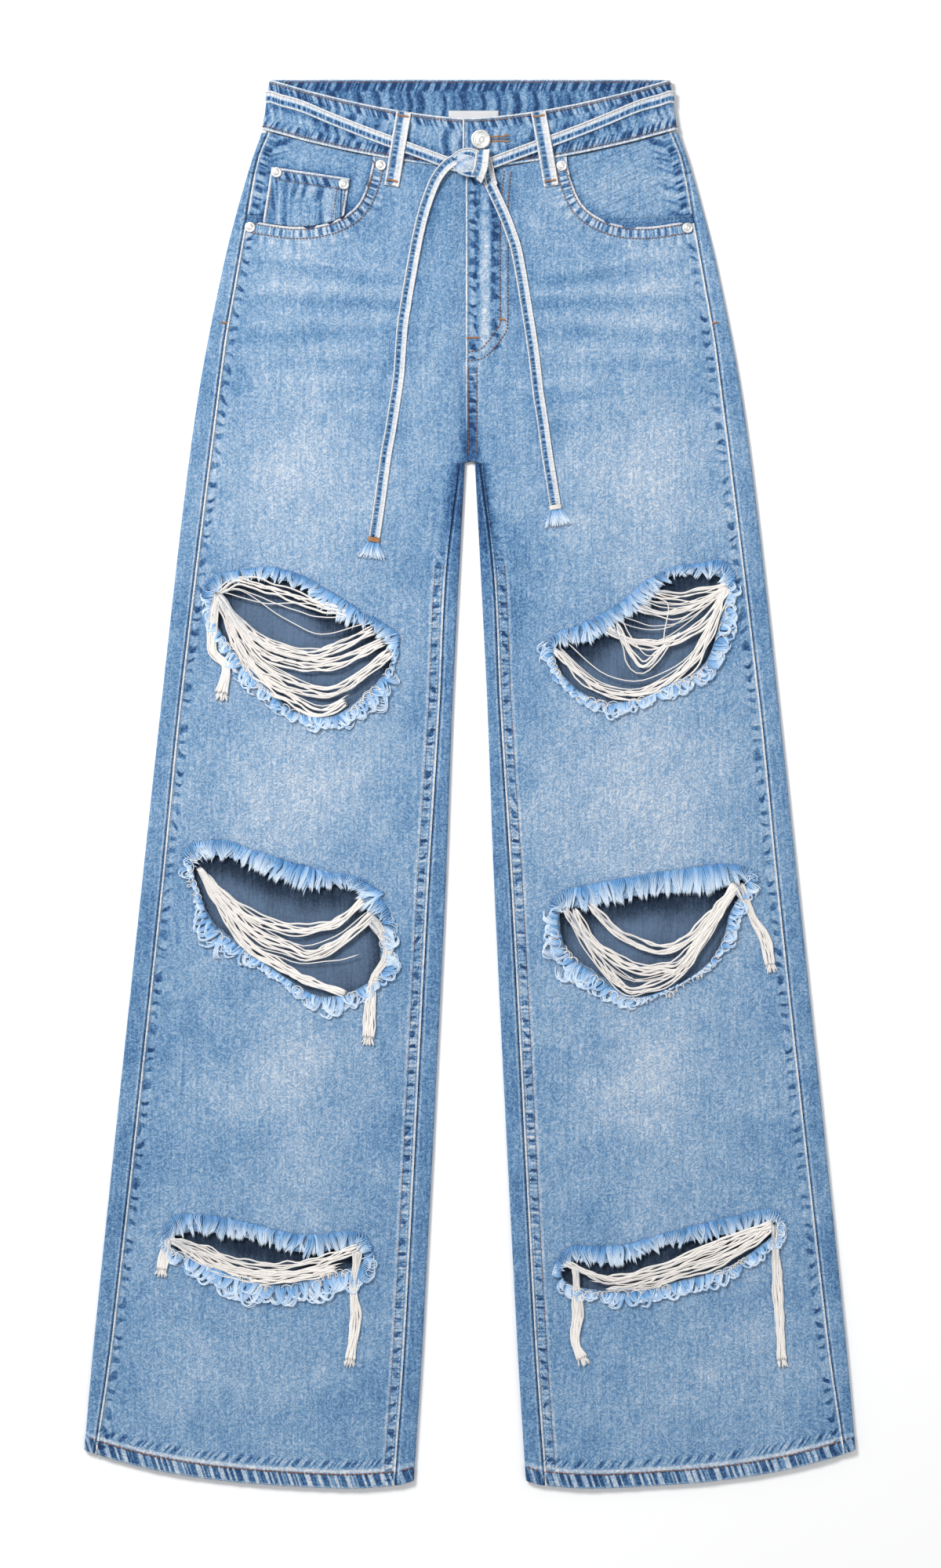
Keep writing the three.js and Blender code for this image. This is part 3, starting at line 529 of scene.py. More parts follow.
def add_tubes(surface, paths, radii, sides, **values):
    """Adds a batch of tubes. A value is one number for them all, or one for each."""
    points, quads, ends, share = tube_batch(paths, radii, sides)
    each = len(points) // len(paths)
    spread = {key: np.repeat(np.broadcast_to(value, len(paths)), each) for key, value in values.items()}
    first = surface.count
    surface.add(points, quads, share=share, **spread)
    surface.faces.append(ends + first)


def sweep(surface, centres, across, normal, section, **values):
    """A closed section carried along a path: each section point (a, n) goes to the path's point
    plus a times its across direction plus n times its normal. Open paths end in flat fans."""
    centres = np.asarray(centres, float)
    section = np.asarray(section, float)
    if section.ndim == 2:
        section = np.broadcast_to(section, (len(centres),) + section.shape)
    across = np.broadcast_to(np.asarray(across, float), centres.shape)
    normal = np.broadcast_to(np.asarray(normal, float), centres.shape)
    points = (
        centres[:, None]
        + across[:, None] * section[:, :, :1]
        + normal[:, None] * section[:, :, 1:]
    )
    rows, columns = points.shape[:2]
    first = surface.count
    spread = {key: np.repeat(np.broadcast_to(value, rows), columns) for key, value in values.items()}
    along = np.repeat(run_along(centres), columns)
    lean = section[:, :, 0] / np.maximum(np.abs(section[:, :, :1]).max(axis=1), 1e-9)
    surface.add(points, grid_quads(rows, columns, closed=True, flip=True),
                along=along, lean=lean.ravel(), edge=np.abs(lean).ravel(), **spread)
    for row, flip in ((0, False), (rows - 1, True)):
        ring = first + row * columns + np.arange(columns)
        middle = surface.count
        ends = {key: np.broadcast_to(value, rows)[row] for key, value in values.items()}
        surface.add(points[row].mean(axis=0)[None], np.zeros((0, 3), int), along=along[row * columns],
                    **ends)
        fan = np.column_stack([np.full(columns, middle), ring, np.roll(ring, -1)])
        surface.faces.append(fan[:, ::-1] if flip else fan)


def finish_piece(piece, slot, *nodes):
    """The piece rides on the garment's one body and stands for its CAD nodes, which it hides; slot is not
    used.
    """
    if nodes:
        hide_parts(*nodes)
    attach(piece, BODY)
    return piece


def cloth_piece(surface, name, outer, thickness, inner="inside", slot="denim", welded=False):
    """A sheet with a finish for each face, standing for the CAD node of its name."""
    piece = surface.build(name, [finish_named(outer), finish_named(inner)])
    if welded:
        weld(piece)
    thicken(piece, thickness, inside_slot=1)
    return finish_piece(piece, slot, name)


def lay_sheet(piece, grid):
    """Works out a sheet's cut, the width, length and area of its drawn face laid flat, and keeps none of
    it.
    """
    p = np.asarray(grid, float)
    a = p[1:, :-1] - p[:-1, :-1]
    b = p[:-1, 1:] - p[:-1, :-1]
    area = np.linalg.norm(np.cross(a, b), axis=2).sum() * MM * MM
    width = np.linalg.norm(np.diff(p, axis=1), axis=2).sum(axis=1).max() * MM
    length = np.linalg.norm(np.diff(p, axis=0), axis=2).sum(axis=0).max() * MM
    area = min(area, 0.999 * width * length)
    return piece


# ---- settings ----


def screen_colour(red, green, blue):
    """A colour given as 0 to 255 on a screen, as the linear light values that a shader takes."""
    share = np.array([red, green, blue]) / 255
    linear = np.where(share <= 0.04045, share / 12.92, ((share + 0.055) / 1.055) ** 2.4)
    return tuple(float(v) for v in linear)


def colour_property(name, description, *rgb):
    """A colour setting, given as 0 to 255 on a screen."""
    return bpy.props.FloatVectorProperty(
        name=name, description=description, subtype="COLOR", size=3, min=0, max=1,
        default=screen_colour(*rgb),
    )


def length_property(name, description, millimetres):
    """A length setting, given in millimetres."""
    return bpy.props.FloatProperty(
        name=name, description=description, default=millimetres * MM, min=0, unit="LENGTH",
        precision=5,
    )


class DenimColours(bpy.types.PropertyGroup):
    """Colours of the washed cloth, from its unfaded puckers to its bare seam edges."""

    # Deepest and deep also colour the painted shade round the crotch, in the seam grooves and beside the
    # tie.
    deepest: colour_property("Deepest", "Unfaded blue in the seam puckers", 27, 60, 104)
    deep: colour_property("Deep", "Blue in the folds and shadows of the wash", 66, 108, 154)
    middle: colour_property("Middle", "The cloth's main blue", 112, 151, 188)
    light: colour_property("Light", "Faded blue on the thighs and knees", 160, 183, 208)
    pale: colour_property("Pale", "Rubbed seam edges", 202, 212, 223)
    bare: colour_property("Bare", "Cloth rubbed white on raised edges", 232, 230, 230)
    inside: colour_property("Inside", "Shaded inner face seen through the rips", 104, 126, 154)
    # Inside dark also colours the painted shadow under the rips' upper lips.
    inside_dark: colour_property("Inside dark", "Darkest threads of the inner face", 28, 40, 58)


class TrimColours(bpy.types.PropertyGroup):
    """Colours of the threads, yarn, metal and label."""

    yarn_root: colour_property("Yarn root", "Fringe where it leaves the cloth", 116, 170, 218)
    yarn_tip: colour_property("Yarn tip", "Fluffy ends of the fringe", 220, 234, 248)
    thread: colour_property("Loose thread", "White weft threads across the rips", 240, 235, 230)
    rust: colour_property("Topstitch", "Rust-brown sewing thread", 150, 98, 70)
    ochre: colour_property("Bartack", "Orange-brown bartack thread", 196, 138, 84)
    copper: colour_property("Copper", "Whipping on the right tie end", 192, 140, 104)
    metal: colour_property("Metal", "Plated button and rivets", 246, 245, 243)
    label: colour_property("Label", "Blank woven tape", 212, 212, 214)


class JeansSizes(bpy.types.PropertyGroup):
    """Sizes of the cloth and of what is sewn or frayed on it."""

    cloth: length_property("Cloth", "Thickness of one layer of denim", CLOTH)
    relief: bpy.props.FloatProperty(
        name="Relief", description="Height of the soft folds against their usual height",
        default=1.0, min=0,
    )
    stitch: length_property("Stitch", "Length of one stitch", 2.5)
    stitch_gap: length_property("Stitch gap", "Gap between two stitches", 0.4)
    stitch_width: length_property("Stitch width", "Thickness of the sewing thread", 0.95)
    yarn: length_property("Yarn", "Thickness of a fringe yarn", 1.05)
    fringe_spacing: length_property("Fringe spacing", "Distance between fringe roots", 1.1)
    loose_thread: length_property("Loose thread", "Thickness of a white thread", 1.6)
    mesh_step: length_property("Mesh step", "Spacing of the panels' mesh", 3.2)


def settings():
    """The sizes set in the panel."""
    return bpy.context.scene.jeans_sizes


def denim_colours():
    """The cloth's colours set in the panel."""
    return bpy.context.scene.denim_colours


def trim_colours():
    """The trims' colours set in the panel."""
    return bpy.context.scene.trim_colours


# ---- finishes ----


class Value:
    """A shader socket that takes part in sums: each operation adds its Math node."""

    def __init__(self, finish, socket):
        self.finish = finish
        self.socket = socket

    def math(self, operation, *others):
        """A Math node with this value first."""
        sockets = dict(enumerate((self,) + others))
        return self.finish.node("ShaderNodeMath", {"operation": operation}, sockets)

    def turned(self, operation, other):
        """A Math node with this value second."""
        return self.finish.node("ShaderNodeMath", {"operation": operation}, {0: other, 1: self})

    def __add__(self, other):
        return self.math("ADD", other)

    def __radd__(self, other):
        return self.turned("ADD", other)

    def __sub__(self, other):
        return self.math("SUBTRACT", other)

    def __rsub__(self, other):
        return self.turned("SUBTRACT", other)

    def __mul__(self, other):
        return self.math("MULTIPLY", other)

    def __rmul__(self, other):
        return self.turned("MULTIPLY", other)

    def rise(self, low, high):
        """0 below low and 1 above high, with a smooth S between, or the other way round."""
        sockets = {"Value": self, "From Min": low, "From Max": high}
        return self.finish.node("ShaderNodeMapRange", {"interpolation_type": "SMOOTHSTEP"}, sockets)

    def within(self, low, high, soft):
        """1 from low to high, with soft sides."""
        return self.rise(low - soft, low + soft) * (1 - self.rise(high - soft, high + soft))


class Finish:
    """One material, built from nodes, with a Principled shader at its end."""

    def __init__(self, name):
        self.material = bpy.data.materials.new(name)
        self.material.use_nodes = True
        self.tree = self.material.node_tree
        self.tree.nodes.clear()
        self.place = self.node("ShaderNodeTexCoord", output="Object")

    def node(self, kind, choices=None, sockets=None, output=0):
        """Adds a node, sets its choices, and fills its sockets with numbers or links."""
        made = self.tree.nodes.new(kind)
        for key, value in (choices or {}).items():
            if key == "stops":
                self.set_stops(made.color_ramp, value)
            else:
                setattr(made, key, value)
        for key, value in (sockets or {}).items():
            if isinstance(value, Value):
                self.tree.links.new(value.socket, made.inputs[key])
            else:
                made.inputs[key].default_value = value
        return Value(self, made.outputs[output])

    @staticmethod
    def set_stops(ramp, stops):
        """Gives a colour ramp its stops."""
        while len(ramp.elements) < len(stops):
            ramp.elements.new(1.0)
        for element, (position, colour) in zip(ramp.elements, stops):
            element.position = position
            element.color = (*colour, 1.0)

    def attribute(self, name):
        """A value painted on the vertices."""
        return self.node("ShaderNodeAttribute", {"attribute_name": name}, output="Fac")

    def stretched(self, x, y, z):
        """Object coordinates times a scale on each axis, in cycles a metre."""
        return self.node(
            "ShaderNodeMapping", {"vector_type": "POINT"}, {"Vector": self.place, "Scale": (x, y, z)}
        )

    def noise(self, scale, detail=2.0, roughness=0.5, distortion=0.0, vector=None):
        sockets = {
            "Vector": vector or self.place, "Scale": scale, "Detail": detail,
            "Roughness": roughness, "Distortion": distortion,
        }
        return self.node("ShaderNodeTexNoise", sockets=sockets, output="Fac")

    def line_noise(self, along, pitch, seed):
        """Noise along one direction: values from 0 to 1 that change about once a pitch."""
        vector = self.node("ShaderNodeCombineXYZ", sockets={0: along * (1 / pitch), 1: seed})
        return self.noise(1.0, detail=1.0, vector=vector)

    def coordinate(self, axis):
        """One object coordinate, in millimetres."""
        return self.node("ShaderNodeSeparateXYZ", sockets={0: self.place}, output=axis) * (1 / MM)

    def ramp(self, value, stops):
        """The colour that a value picks between stops."""
        return self.node("ShaderNodeValToRGB", {"stops": stops}, {0: value})

    def height(self, value, strength, distance_mm):
        """A bumped normal from a value, with its distance in millimetres."""
        sockets = {"Strength": strength, "Distance": distance_mm * MM, "Height": value}
        return self.node("ShaderNodeBump", sockets=sockets)

    def close(self, colour, roughness, normal=None, **fixed):
        """The end of the material. fixed holds the shader's sockets that are one value all over."""
        sockets = {"Base Color": colour, "Roughness": roughness}
        if normal:
            sockets["Normal"] = normal
        sockets.update({key.replace("_", " "): value for key, value in fixed.items()})
        shader = self.node("ShaderNodeBsdfPrincipled", sockets=sockets)
        end = self.tree.nodes.new("ShaderNodeOutputMaterial")
        self.tree.links.new(shader.socket, end.inputs["Surface"])
        return self.material


def weave(finish):
    """The cloth's own texture as four values: wandering rubbed lines from the wash, finer
    ones, a diagonal twill, and long slubs in the warp."""
    field = finish.noise(120.0, detail=1.0, roughness=0.4, distortion=0.5)
    wandering = (field * 46.0).math("SINE") * 0.5 + 0.5
    fine_field = finish.noise(290.0, detail=1.0, distortion=0.6)
    fine = (fine_field * 24.0).math("SINE") * 0.5 + 0.5
    across = finish.coordinate(0)
    up = finish.coordinate(1)
    twill = ((across * 0.75 + up) * (2 * np.pi / TWILL_PITCH)).math("SINE") * 0.5 + 0.5
    slubs = finish.noise(1.0, detail=2.0, vector=finish.stretched(620.0, 46.0, 90.0))
    return wandering, fine, twill, slubs


def cloth_stops(colours):
    """The wash's colours along its lightness."""
    return [
        (0.0, colours.deepest), (0.22, colours.deep), (0.45, colours.middle),
        (0.66, colours.light), (0.84, colours.pale), (1.0, colours.bare),
    ]


WASH_SHIFT = -0.025  # makes the whole wash a little darker than the fades painted on it


def washed_denim(name, marks=None, lift=0.0, texture=1.0):
    """Washed denim: a lightness made of the wash's fading and the painted shade held on the vertices,
    the weave and what the seams add, which a ramp turns into colour."""
    finish = Finish(name)
    wandering, fine, twill, slubs = weave(finish)
    patches = finish.noise(26.0, detail=3.0, roughness=0.6)
    # The lightness on the vertices carries painted shade as well as the wash's fading; the accent adds
    # seam marks, among them painted shadow beside the tie belt and painted shade in the knot's creases.
    light = finish.attribute("fade") + finish.attribute("accent") + (lift + WASH_SHIFT)
    light = light + (wandering - 0.5) * (0.14 * texture) + (fine - 0.5) * (0.19 * texture)
    light = light + (twill - 0.5) * 0.08 + (slubs - 0.5) * 0.32 + (patches - 0.5) * 0.26
    relief = wandering * 0.5 + fine * 0.35 + twill * 0.3 + slubs * 0.5
    if marks:
        added, raised = marks(finish)
        light = light + added
        relief = relief + raised
    colour = finish.ramp(light, cloth_stops(denim_colours()))
    normal = finish.height(relief, 0.68, 0.8)
    rough = 0.98 - (slubs * 0.1)
    return finish.close(colour, rough, normal, Sheen_Weight=0.12, Sheen_Roughness=0.6,
                        Specular_IOR_Level=0.15)


def hem_blocks(finish, across, hem):
    """The slanting dark blocks of the hem, and 1 inside it."""
    blocks = finish.line_noise(across + hem * 0.35, 4.6, 31.0).rise(0.45, 0.54)
    return blocks, 1 - hem.rise(10.2, 11.4)


def panel_marks(finish):
    """What the seams add to a leg panel: a bare raised edge, puckers beside it, the felled band on
    the inner side, the hem's dark blocks with a pale rise above, and the pocket opening's band."""
    up = finish.coordinate(1)
    across = finish.coordinate(0)
    rim = finish.attribute("rim")
    fell = finish.attribute("fell")
    hem = finish.attribute("hem")
    opening = finish.attribute("open")
    run = finish.attribute("open_run")

    worn = finish.attribute("seam_wear")
    edge = 1 - rim.rise(1.2, 2.1)
    edge_wear = finish.line_noise(up, 6.0, 3.0)
    added = edge * (0.3 + edge_wear * 0.22) * worn
    uneven = finish.noise(1.0, detail=1.0, vector=finish.stretched(70.0, 45.0, 0.0))
    puckers = (up * (2 * np.pi / 11.0) + uneven * 14.0 + rim * 0.12).math("SINE").rise(0.15, 0.85)
    beside = rim.within(3.0, 8.6, 1.8) * worn
    added = added + beside * (0.06 - puckers * (uneven * 0.9 - 0.08))

    band = fell.within(2.4, 8.8, 0.7) * worn
    lumps = finish.line_noise(up, 2.6, 23.0)
    added = added + band * ((lumps - 0.5) * 1.5 + 0.03) + fell.within(9.2, 11.4, 0.9) * worn * 0.18

    blocks, in_hem = hem_blocks(finish, across, hem)
    turned = 1 - hem.rise(0.8, 2.2)
    added = added + in_hem * (0.26 - blocks * 0.62) * (1 - turned * 0.7) + turned * 0.14
    added = added + hem.within(12.0, 15.0, 1.2) * 0.32
    above = finish.line_noise(across - hem * 0.8, 4.6, 41.0).rise(0.44, 0.58)
    added = added + hem.within(16.4, 22.0, 2.6) * (0.16 - above * 0.5)

    lip = 1 - opening.rise(1.2, 2.2)
    ovals = finish.line_noise(run, 3.0, 53.0).rise(0.4, 0.6)
    gathers = finish.line_noise(run, 4.0, 61.0)
    added = added + lip * 0.4 + opening.within(2.4, 8.4, 0.7) * (ovals * 0.6 - 0.34)
    added = added + opening.within(9.6, 17.0, 2.4) * (gathers - 0.47) * 1.0
    raised = edge * 2.0 + beside * puckers * -1.5 + band * lumps * 2.0
    raised = raised + in_hem * blocks * -3.0 + lip * 2.0
    added = added + fly_marks(finish)
    return added, raised


def fly_marks(finish):
    """The fly: dark broken blotches inside its edge and along its curved stitching, and a pale
    column between them."""
    over = finish.attribute("fly")
    shown = finish.attribute("fly_share")
    blotch = finish.noise(1.0, detail=2.0, vector=finish.stretched(120.0, 105.0, 0.0))
    broken = finish.noise(1.0, detail=1.0, vector=finish.stretched(90.0, 150.0, 9.0))
    dark = over.within(3.4, 7.4, 1.2) * blotch.rise(0.48, 0.58) * 0.3
    dark = dark + over.within(17.0, 24.0, 2.0) * (broken.rise(0.47, 0.6) * 0.36 + 0.03)
    pale = over.within(9.0, 15.5, 2.0) * (0.22 + (broken - 0.5) * 0.7)
    pale = pale + over.within(26.0, 29.6, 0.8) * 0.1
    return (pale - dark) * shown


def strip_marks(finish):
    """The back panel beside the front's edge: painted shadow in the groove at the seam, then a pale line.
    """
    rim = finish.attribute("rim")
    hem = finish.attribute("hem")
    across = finish.coordinate(0)
    groove = 1 - rim.rise(0.6, 1.3)
    blocks, in_hem = hem_blocks(finish, across, hem)
    # The groove at the seam is darkened as painted shadow and sunk by the bump.
    added = groove * -0.2 + rim.within(1.7, 2.8, 0.6) * 0.22
    added = added + in_hem * (0.2 - blocks * 0.5) + hem.within(12.0, 15.4, 1.0) * 0.24
    return added, groove * -2.0 + in_hem * blocks * 3.0


def strap_marks(finish):
    """A sewn strap: bare raised edges, dark puckers down one half of it and a paler other half."""
    along = finish.attribute("along")
    edge = finish.attribute("edge")
    bare = edge.rise(0.6, 0.76)
    puckers = finish.line_noise(along, 2.3, 71.0).rise(0.42, 0.56)
    lean = finish.attribute("lean")
    added = bare * 0.38 - lean.within(-0.55, 0.0, 0.14) * (0.02 + puckers * 0.46)
    added = added + lean.rise(0.0, 0.25) * 0.36
    return added, bare * 2.0 + puckers * 0.8


def band_marks(finish):
    """The waistband: bare rubbed edges and dark puckers a stitch length inside them."""
    along = finish.attribute("along")
    rim = finish.attribute("rim")
    bare = 1 - rim.rise(1.1, 2.0)
    puckers = finish.line_noise(along + rim * 0.4, 4.4, 83.0).rise(0.42, 0.58)
    inner = finish.line_noise(along - rim * 0.3, 7.0, 89.0).rise(0.4, 0.66)
    added = bare * 0.4 + rim.within(2.6, 9.0, 1.8) * (0.12 - puckers * 0.6)
    added = added + rim.within(9.5, 21.0, 3.0) * (0.12 - inner * 0.46)
    return added, bare * 2.0 + puckers * 1.2


def shaded_inside():
    """The cloth's inner face: slate blue with a fine diagonal weave, darkened as painted shadow under
    each rip's upper lip.
    """
    finish = Finish("denim_inside")
    colours = denim_colours()
    _, fine, twill, slubs = weave(finish)
    clouds = finish.noise(30.0, detail=2.0)
    value = fine * 0.12 + twill * 0.3 + slubs * 0.4 + clouds * 0.45
    # Painted shadow under the rip's upper lip.
    value = value - finish.attribute("shelter") * 0.5
    colour = finish.ramp(value, [(0.1, colours.inside_dark), (0.8, colours.inside)])
    normal = finish.height(fine * 0.4 + twill + slubs, 0.5, 0.4)
    return finish.close(colour, 0.95, normal, Specular_IOR_Level=0.1)


def yarn_finish(name, root, tip, streak=0.25):
    """Soft cotton yarn: darker at its root, paler at its tip, each strand a little different."""
    finish = Finish(name)
    share = finish.attribute("share")
    # Each strand's own tone; on the fringe it also holds painted shade at the flanks of each lock.
    shade = finish.attribute("shade")
    fibres = finish.noise(900.0, detail=2.0)
    value = share * 0.75 + shade * 0.5 + (fibres - 0.5) * streak
    dark = tuple(c * tone for c, tone in zip(root, (0.42, 0.52, 0.66)))
    colour = finish.ramp(value, [(0.0, dark), (0.3, root), (0.9, tip)])
    normal = finish.height(fibres, 0.5, 0.2)
    return finish.close(colour, 0.95, normal, Sheen_Weight=0.15, Specular_IOR_Level=0.1)


def sewing_thread(name, colour):
    """Twisted sewing thread with a faint gloss."""
    finish = Finish(name)
    dark = tuple(0.45 * c for c in colour)
    ply = finish.noise(1400.0, detail=1.0)
    patches = finish.noise(120.0, detail=1.0)
    tint = finish.ramp(ply * 0.6 + patches * 0.4, [(0.3, dark), (0.62, colour)])
    return finish.close(tint, 0.62, finish.height(ply, 0.6, 0.15), Specular_IOR_Level=0.3)


def plated_metal():
    """Pale plated metal, a little worn and dull in small patches."""
    finish = Finish("silver_metal")
    wear = finish.noise(700.0, detail=3.0)
    clouds = finish.noise(160.0, detail=2.0)
    base = trim_colours().metal
    dull = tuple(0.6 * c for c in base)
    colour = finish.ramp(wear * 0.5 + clouds * 0.5, [(0.34, dull), (0.56, base)])
    rough = 0.26 + (wear * 0.2)
    return finish.close(colour, rough, finish.height(wear, 0.12, 0.08), Metallic=0.8)


def woven_tape():
    """A plain satin tape with fine ribs across it."""
    finish = Finish("label_tape")
    ribs = (finish.coordinate(1) * (2 * np.pi / 0.7)).math("SINE") * 0.5 + 0.5
    base = trim_colours().label
    shade = tuple(0.8 * c for c in base)
    clouds = finish.noise(80.0, detail=2.0)
    colour = finish.ramp(ribs * 0.5 + clouds * 0.5, [(0.2, shade), (0.7, base)])
    return finish.close(colour, 0.7, finish.height(ribs, 0.4, 0.2))


FINISHES = {}


def finish_named(name):
    """The material of that name, made the first time it is asked for."""
    trim = trim_colours()
    makers = {
        "leg_denim": lambda: washed_denim("leg_denim", panel_marks),
        "side_denim": lambda: washed_denim("side_denim", strip_marks, lift=-0.04),
        "patch_denim": lambda: washed_denim("patch_denim", band_marks),
        "waistband_denim": lambda: washed_denim("waistband_denim", band_marks),
        "band_inside": lambda: washed_denim("band_inside", band_marks, lift=-0.2),
        "strap_denim": lambda: washed_denim("strap_denim", strap_marks, texture=0.6),
        "inside": shaded_inside,
        "fringe": lambda: yarn_finish("frayed_warp", trim.yarn_root, trim.yarn_tip),
        "white_thread": lambda: yarn_finish("white_thread", tuple(0.86 * c for c in trim.thread),
                                            trim.thread),
        "rust": lambda: sewing_thread("rust_topstitch", trim.rust),
        "ochre": lambda: sewing_thread("ochre_bartack", trim.ochre),
        "copper": lambda: sewing_thread("copper_whipping", trim.copper),
        "metal": plated_metal,
        "label": woven_tape,
    }
    if name not in FINISHES:
        FINISHES[name] = makers[name]()
    return FINISHES[name]


# ---- leg panels ----

FAR = 100.0  # stands for "nowhere near" in the distances painted on the vertices
CROTCH_ROWS = (256.0, 257.2, 258.5)
FELL_TOP = 338.0  # the felled centre seam runs up to the fly's lower end
FRONT_ROWS = (-470.0, 400.0)  # between these heights the mesh rows of a front run level
BACK_ROWS = (-470.0, 440.0)
SNAP_REACH = 1.8  # mesh points nearer than this to a cut edge are moved on to it
EDGE_STEPS = np.array([0, 0.5, 1.1, 1.8, 2.5, 3.4, 4.6, 6.2, 8.4, 11.2, 14.5])
HEM_STEPS = np.array([0, 0.7, 1.6, 3, 5, 7, 9, 10.6, 11.6, 12.8, 14.5, 17, 20, 23.5])


HEM_LEVEL = -535.0  # middling height of the hem
SETTLE_START = 150.0  # middling distance out, to start from
SETTLE_ROUNDS = 7


def row_family(low, high, top_gap, step):
    """Rows up the garment as weights (a, b, c): a row's height is a * hem line + b * top line + c.
    They follow the hem, straighten by the height low, run level to high and then join the top.
    A few rows stand at the crotch, where the edge turns sharply."""
    bend = np.linspace(0, 1, int((low - HEM_LEVEL) / step) + 1)[1:]
    level = np.unique(np.append(np.arange(low, high, step)[1:], CROTCH_ROWS))
    rise = np.linspace(0, 1, 22)
    ones = np.ones_like
    blocks = [
        np.column_stack([ones(HEM_STEPS), 0 * HEM_STEPS, HEM_STEPS]),
        np.column_stack([1 - bend, 0 * bend, HEM_STEPS[-1] * (1 - bend) + low * bend]),
        np.column_stack([0 * level, 0 * level, level]),
        np.column_stack([0 * rise, rise, high * (1 - rise) - top_gap * rise]),
    ]
    return np.vstack(blocks)


def settle(rows, top_line, x_at, columns):
    """Points of a family of rows, where each x depends on its height and each height on its x."""
    a, b, c = (rows[:, k : k + 1] for k in range(3))
    x = np.full((len(rows), columns), SETTLE_START)
    for _ in range(SETTLE_ROUNDS):
        y = a * hem_line(x) + b * top_line(x) + c
        x = x_at(y)
    return x, y


def between_edges(inner, outer, step, width=215.0):
    """Columns from an inner to an outer edge, close together beside both: x = inner * (1 - s) +
    outer * s + k, with s and k for each column."""
    margin = EDGE_STEPS[-1]
    share = np.linspace(0, 1, int(width / step) + 1)[1:-1]
    s = np.concatenate([0 * EDGE_STEPS, share, 0 * EDGE_STEPS + 1])
    k = np.concatenate([EDGE_STEPS, margin * (1 - 2 * share), -EDGE_STEPS[::-1]])
    return lambda y: inner(y) * (1 - s) + outer(y) * s + k, len(s)


def nearest_on(outline, x, y):
    """Signed distance to a closed outline (negative inside), its nearest point, and how far along
    the outline that is."""
    ring = np.asarray(outline, float)
    p = np.column_stack([x.ravel(), y.ravel()])
    best = np.full(len(p), 1e9)
    spot = np.zeros((len(p), 2))
    run = np.zeros(len(p))
    inside = np.zeros(len(p), bool)
    passed = 0.0
    for a, b in zip(ring, np.roll(ring, -1, axis=0)):
        side = b - a
        t = clamp(((p - a) @ side) / (side @ side))
        foot = a + t[:, None] * side
        gap = np.linalg.norm(p - foot, axis=1)
        closer = gap < best
        best = np.where(closer, gap, best)
        spot[closer] = foot[closer]
        length = np.linalg.norm(side)
        run = np.where(closer, passed + t * length, run)
        passed += length
        crosses = (a[1] > p[:, 1]) != (b[1] > p[:, 1])
        if a[1] != b[1]:
            inside ^= crosses & (p[:, 0] < a[0] + (p[:, 1] - a[1]) * side[0] / side[1])
    shape = x.shape
    signed = np.where(inside, -best, best)
    return signed.reshape(shape), spot[:, 0].reshape(shape), spot[:, 1].reshape(shape), run.reshape(shape)


def opening_outline():
    """The region above a pocket's curved opening, out past the side seam."""
    xs = np.array([77, 78, 79, 80.8, 82.5, 84, 86, 88.4, 91, 94, 98, 102, 107, 113, 120, 130, 140,
                   148, 157, 168, 180])
    edge = np.column_stack([xs, pocket_opening(xs)])
    corners = [(215, pocket_opening(180)), (215, WAIST_TOP), (77, WAIST_TOP)]
    return np.vstack([edge, corners])


def ragged(outline, seed, depth=1.3, pitch=5.0):
    """A smooth closed outline with small uneven bites, as torn cloth has."""
    path = smooth_path(outline, 1.6, closed=True)
    along = run_along(path)
    normal = tangents(path)[:, ::-1] * (1, -1)
    return path + normal * (depth * wavy(along, 0 * along, seed, pitch))[:, None]


def fade_and_shade_map(side, x, y):
    """Lightness painted on the front: pale ovals where the wash has faded thigh, knee and shin, darker
    sides, whisker lines that fan out from the crotch across the hip with a darker band under each,
    painted shade round the crotch, and painted shadow beside the tie."""
    light = 0.51 + 0 * x
    for cx, cy, rx, ry, lift in (
        (140, 245, 84, 98, 0.18), (140, -2, 82, 88, 0.18), (142, -235, 62, 98, 0.11),
        (172, 415, 60, 46, 0.1), (205, -460, 70, 70, 0.06), (148, -222, 22, 62, 0.04),
    ):
        oval = ((x - cx) / rx) ** 2 + ((y - cy) / ry) ** 2
        light += lift * np.exp(-oval)
    light += 0.03 * (side > 0) * bump(y, -150, 220)
    light -= 0.1 * (side > 0) * bump(x, 44, 26) * bump(y, 140, 60)
    reach = outseam(y)
    light -= 0.03 * soft_step(60, 8, reach - x)
    light -= 0.05 * soft_step(46, 4, x - inseam(y)) * soft_step(300, 240, y)
    # Painted shade round the crotch: darker beside the inseam below it and beside the centre seam above
    # it, up to the fly.
    near = np.where(y > CROTCH_GAP_TOP, x - 1, x - inseam(y))
    light -= 0.34 * soft_step(10, 1, near) * soft_step(150, 235, y) * soft_step(345, 290, y)
    for i, (start, drop, lift) in enumerate(WHISKERS):
        line = whisker_line(start, drop, x)
        light += lift * bump(y, line, 4.5 + i) * soft_step(30, 60, x) * soft_step(5, 35, reach - x)
        under = bump(y, line - 9 - i, 4.5 + i) * soft_step(30, 60, x) * soft_step(0, 20, reach - x)
        light -= 1.1 * lift * under
    # Painted shadow of the tie's free ends and knot.
    light -= tie_painted_shadow(side, x, y)
    light += 0.055 * wavy(side * x, y, 5, 110, 3)
    return light


